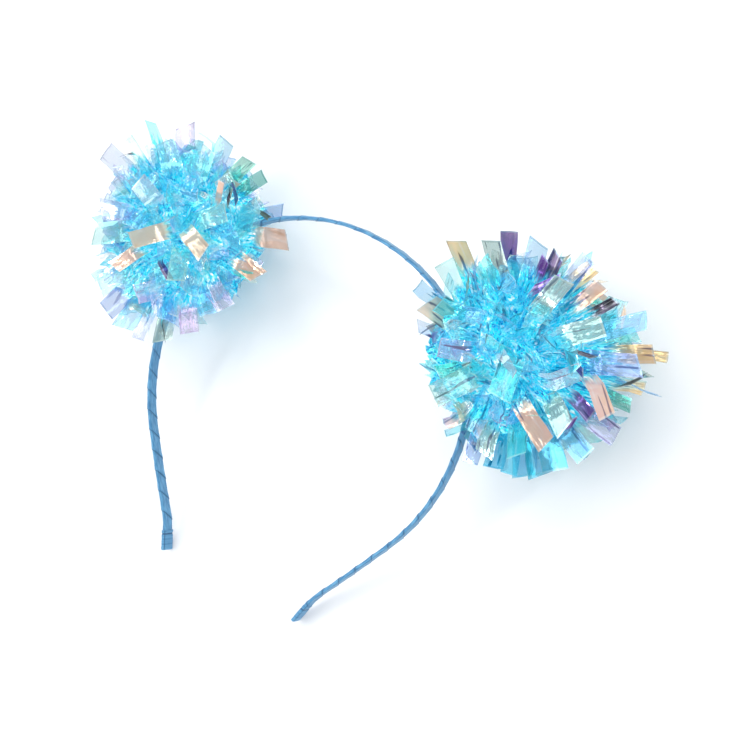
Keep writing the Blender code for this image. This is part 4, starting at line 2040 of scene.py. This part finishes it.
# Rows in the purple, navy and near-black tints are painted dark reflections.
RIGHT_PATCHES = (
    Patch(431, 326, Tint.DUSK, 2.4, 5.0, 215),
    Patch(541, 270, Tint.PURPLE, 3.0, 4.0, 70),
    Patch(571, 360, Tint.NAVY, 2.4, 7.0, -48),
    Patch(578, 352, Tint.DUSK, 1.6, 6.0, -20),
    Patch(632, 383, Tint.DUSK, 2.0, 6.0, 28),
    Patch(564, 430, Tint.PURPLE, 3.0, 4.0, 60),
    Patch(571, 352, Tint.TURQUOISE, 4.0, 7.0, -75),
    # Painted highlight: these two silver strips stand for white glare on the film.
    Patch(503, 362, Tint.SILVER, 5.0, 7.0, -60),
    Patch(560, 379, Tint.SILVER, 6.0, 9.0, 20),
    Patch(446, 296, Tint.PALE_CYAN, 6.0, 9.0, 75),
    Patch(455, 312, Tint.AQUA, 6.5, 8.0, 150),
    Patch(462, 428, Tint.AQUA, 6.5, 8.0, 200),
    Patch(508, 249, Tint.PURPLE, 6.0, 9.0),
    Patch(497, 262, Tint.GREY_MINT, 6.4, 11.0, 105),
    Patch(462, 256, Tint.GOLD, 6.4, 8.0),
    Patch(452, 276, Tint.MINT, 7.2, 8.0),
    Patch(427, 294, Tint.SKY, 5.0, 6.0),
    Patch(441, 314, Tint.BEIGE, 7.6, 11.0),
    Patch(431, 331, Tint.LAVENDER, 4.6, 7.0),
    Patch(460, 350, Tint.LAVENDER, 7.0, 9.0),
    Patch(452, 370, Tint.TEAL, 4.6, 6.0),
    Patch(457, 384, Tint.MINT, 7.8, 13.0),
    Patch(552, 268, Tint.NAVY, 4.6, 6.0),
    Patch(542, 286, Tint.PURPLE, 3.2, 7.0, 25),
    Patch(550, 297, Tint.GREY_MINT, 6.6, 10.0, 50),
    Patch(535, 258, Tint.SKY, 6.6, 7.0),
    Patch(578, 271, Tint.PERIWINKLE, 5.6, 7.0),
    Patch(587, 297, Tint.PEACH, 5.0, 8.0),
    Patch(604, 307, Tint.DUSK, 3.4, 5.0),
    Patch(620, 327, Tint.SKY, 6.0, 14.0),
    Patch(581, 332, Tint.GREY_MINT, 7.0, 10.0, 15),
    Patch(637, 354, Tint.GOLD, 6.4, 8.0),
    Patch(613, 364, Tint.PERIWINKLE, 7.4, 13.0),
    Patch(599, 394, Tint.PEACH, 6.8, 11.0, -70),
    Patch(617, 400, Tint.TEAL, 5.0, 6.0),
    Patch(581, 405, Tint.PURPLE, 4.8, 6.0, -50),
    Patch(508, 372, Tint.AQUA, 7.8, 12.0, -110),
    Patch(557, 412, Tint.GREY_MINT, 6.8, 8.0, -65),
    Patch(532, 422, Tint.PEACH, 6.4, 13.0, -58),
    Patch(474, 449, Tint.PERIWINKLE, 5.6, 7.0),
    Patch(488, 438, Tint.GREY_MINT, 6.2, 8.0),
    Patch(500, 447, Tint.TURQUOISE, 8.6, 11.0, -108),
    Patch(512, 451, Tint.TURQUOISE, 9.0, 12.0, -98),
    Patch(525, 453, Tint.TURQUOISE, 9.0, 12.0, -90),
    Patch(538, 452, Tint.TURQUOISE, 9.0, 12.0, -82),
    Patch(550, 449, Tint.TURQUOISE, 8.6, 11.0, -74),
    Patch(518, 436, Tint.AQUA, 7.0, 9.0, -95),
    Patch(574, 441, Tint.SKY, 7.4, 9.0),
    Patch(599, 424, Tint.LAVENDER, 7.0, 10.0),
)

# How far each pompom's strips reach in the photograph against its ball, by equal turns round the
# picture from its right, anticlockwise.
LEFT_OUTLINE = (0.86, 0.90, 0.93, 0.98, 1.05, 1.00, 0.93, 1.06, 1.10, 0.96, 0.74, 0.78)

RIGHT_OUTLINE = (1.05, 0.92, 0.95, 0.93, 1.04, 1.06, 0.86, 0.98, 1.10, 1.04, 0.98, 0.98)


def main() -> None:
    """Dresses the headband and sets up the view."""
    line = BandLine.from_record(frame["record"])
    view = PhotoView(line)
    view.place()
    Studio().build()
    WoundRibbon(line).build(RibbonFinish())
    ends = RibbonFinish("ribbon_end").material()
    FoldedEnd(line, -1, "end_cap_left").build(ends)
    FoldedEnd(line, 1, "end_cap_right").build(ends)
    left_film = FilmFinish("film_left", creases=0.25)
    right_facets = Facets(bright=(56, 234, 248), pale=(146, 242, 252))
    right_film = FilmFinish("film_right", right_facets, creases=0.70, crease=(22, 66, 118))
    left = Pompom(
        line,
        view,
        "pompom_left",
        side=-1,
        tie_distance=68.5 * MM,
        ball_radius=35.0 * MM,
        ball_offset=9.5 * MM,
        seed=11,
        finish=left_film,
        patches=LEFT_PATCHES,
        outline=LEFT_OUTLINE,
        pale_from=-0.45,
    )
    right = Pompom(
        line,
        view,
        "pompom_right",
        side=1,
        tie_distance=65.5 * MM,
        ball_radius=36.5 * MM,
        ball_offset=25.5 * MM,
        seed=12,
        finish=right_film,
        patches=RIGHT_PATCHES,
        outline=RIGHT_OUTLINE,
        front=0.45,
        neutral=True,
    )
    for pompom in (left, right):
        pompom.build()
    boxes = {"cad": cad_box, "visual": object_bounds()}
    {key: [list(corner) for corner in box] for key, box in boxes.items()}


if __name__ == "__main__":
    logging.basicConfig(level=logging.INFO, format="%(name)s: %(message)s")
    main()
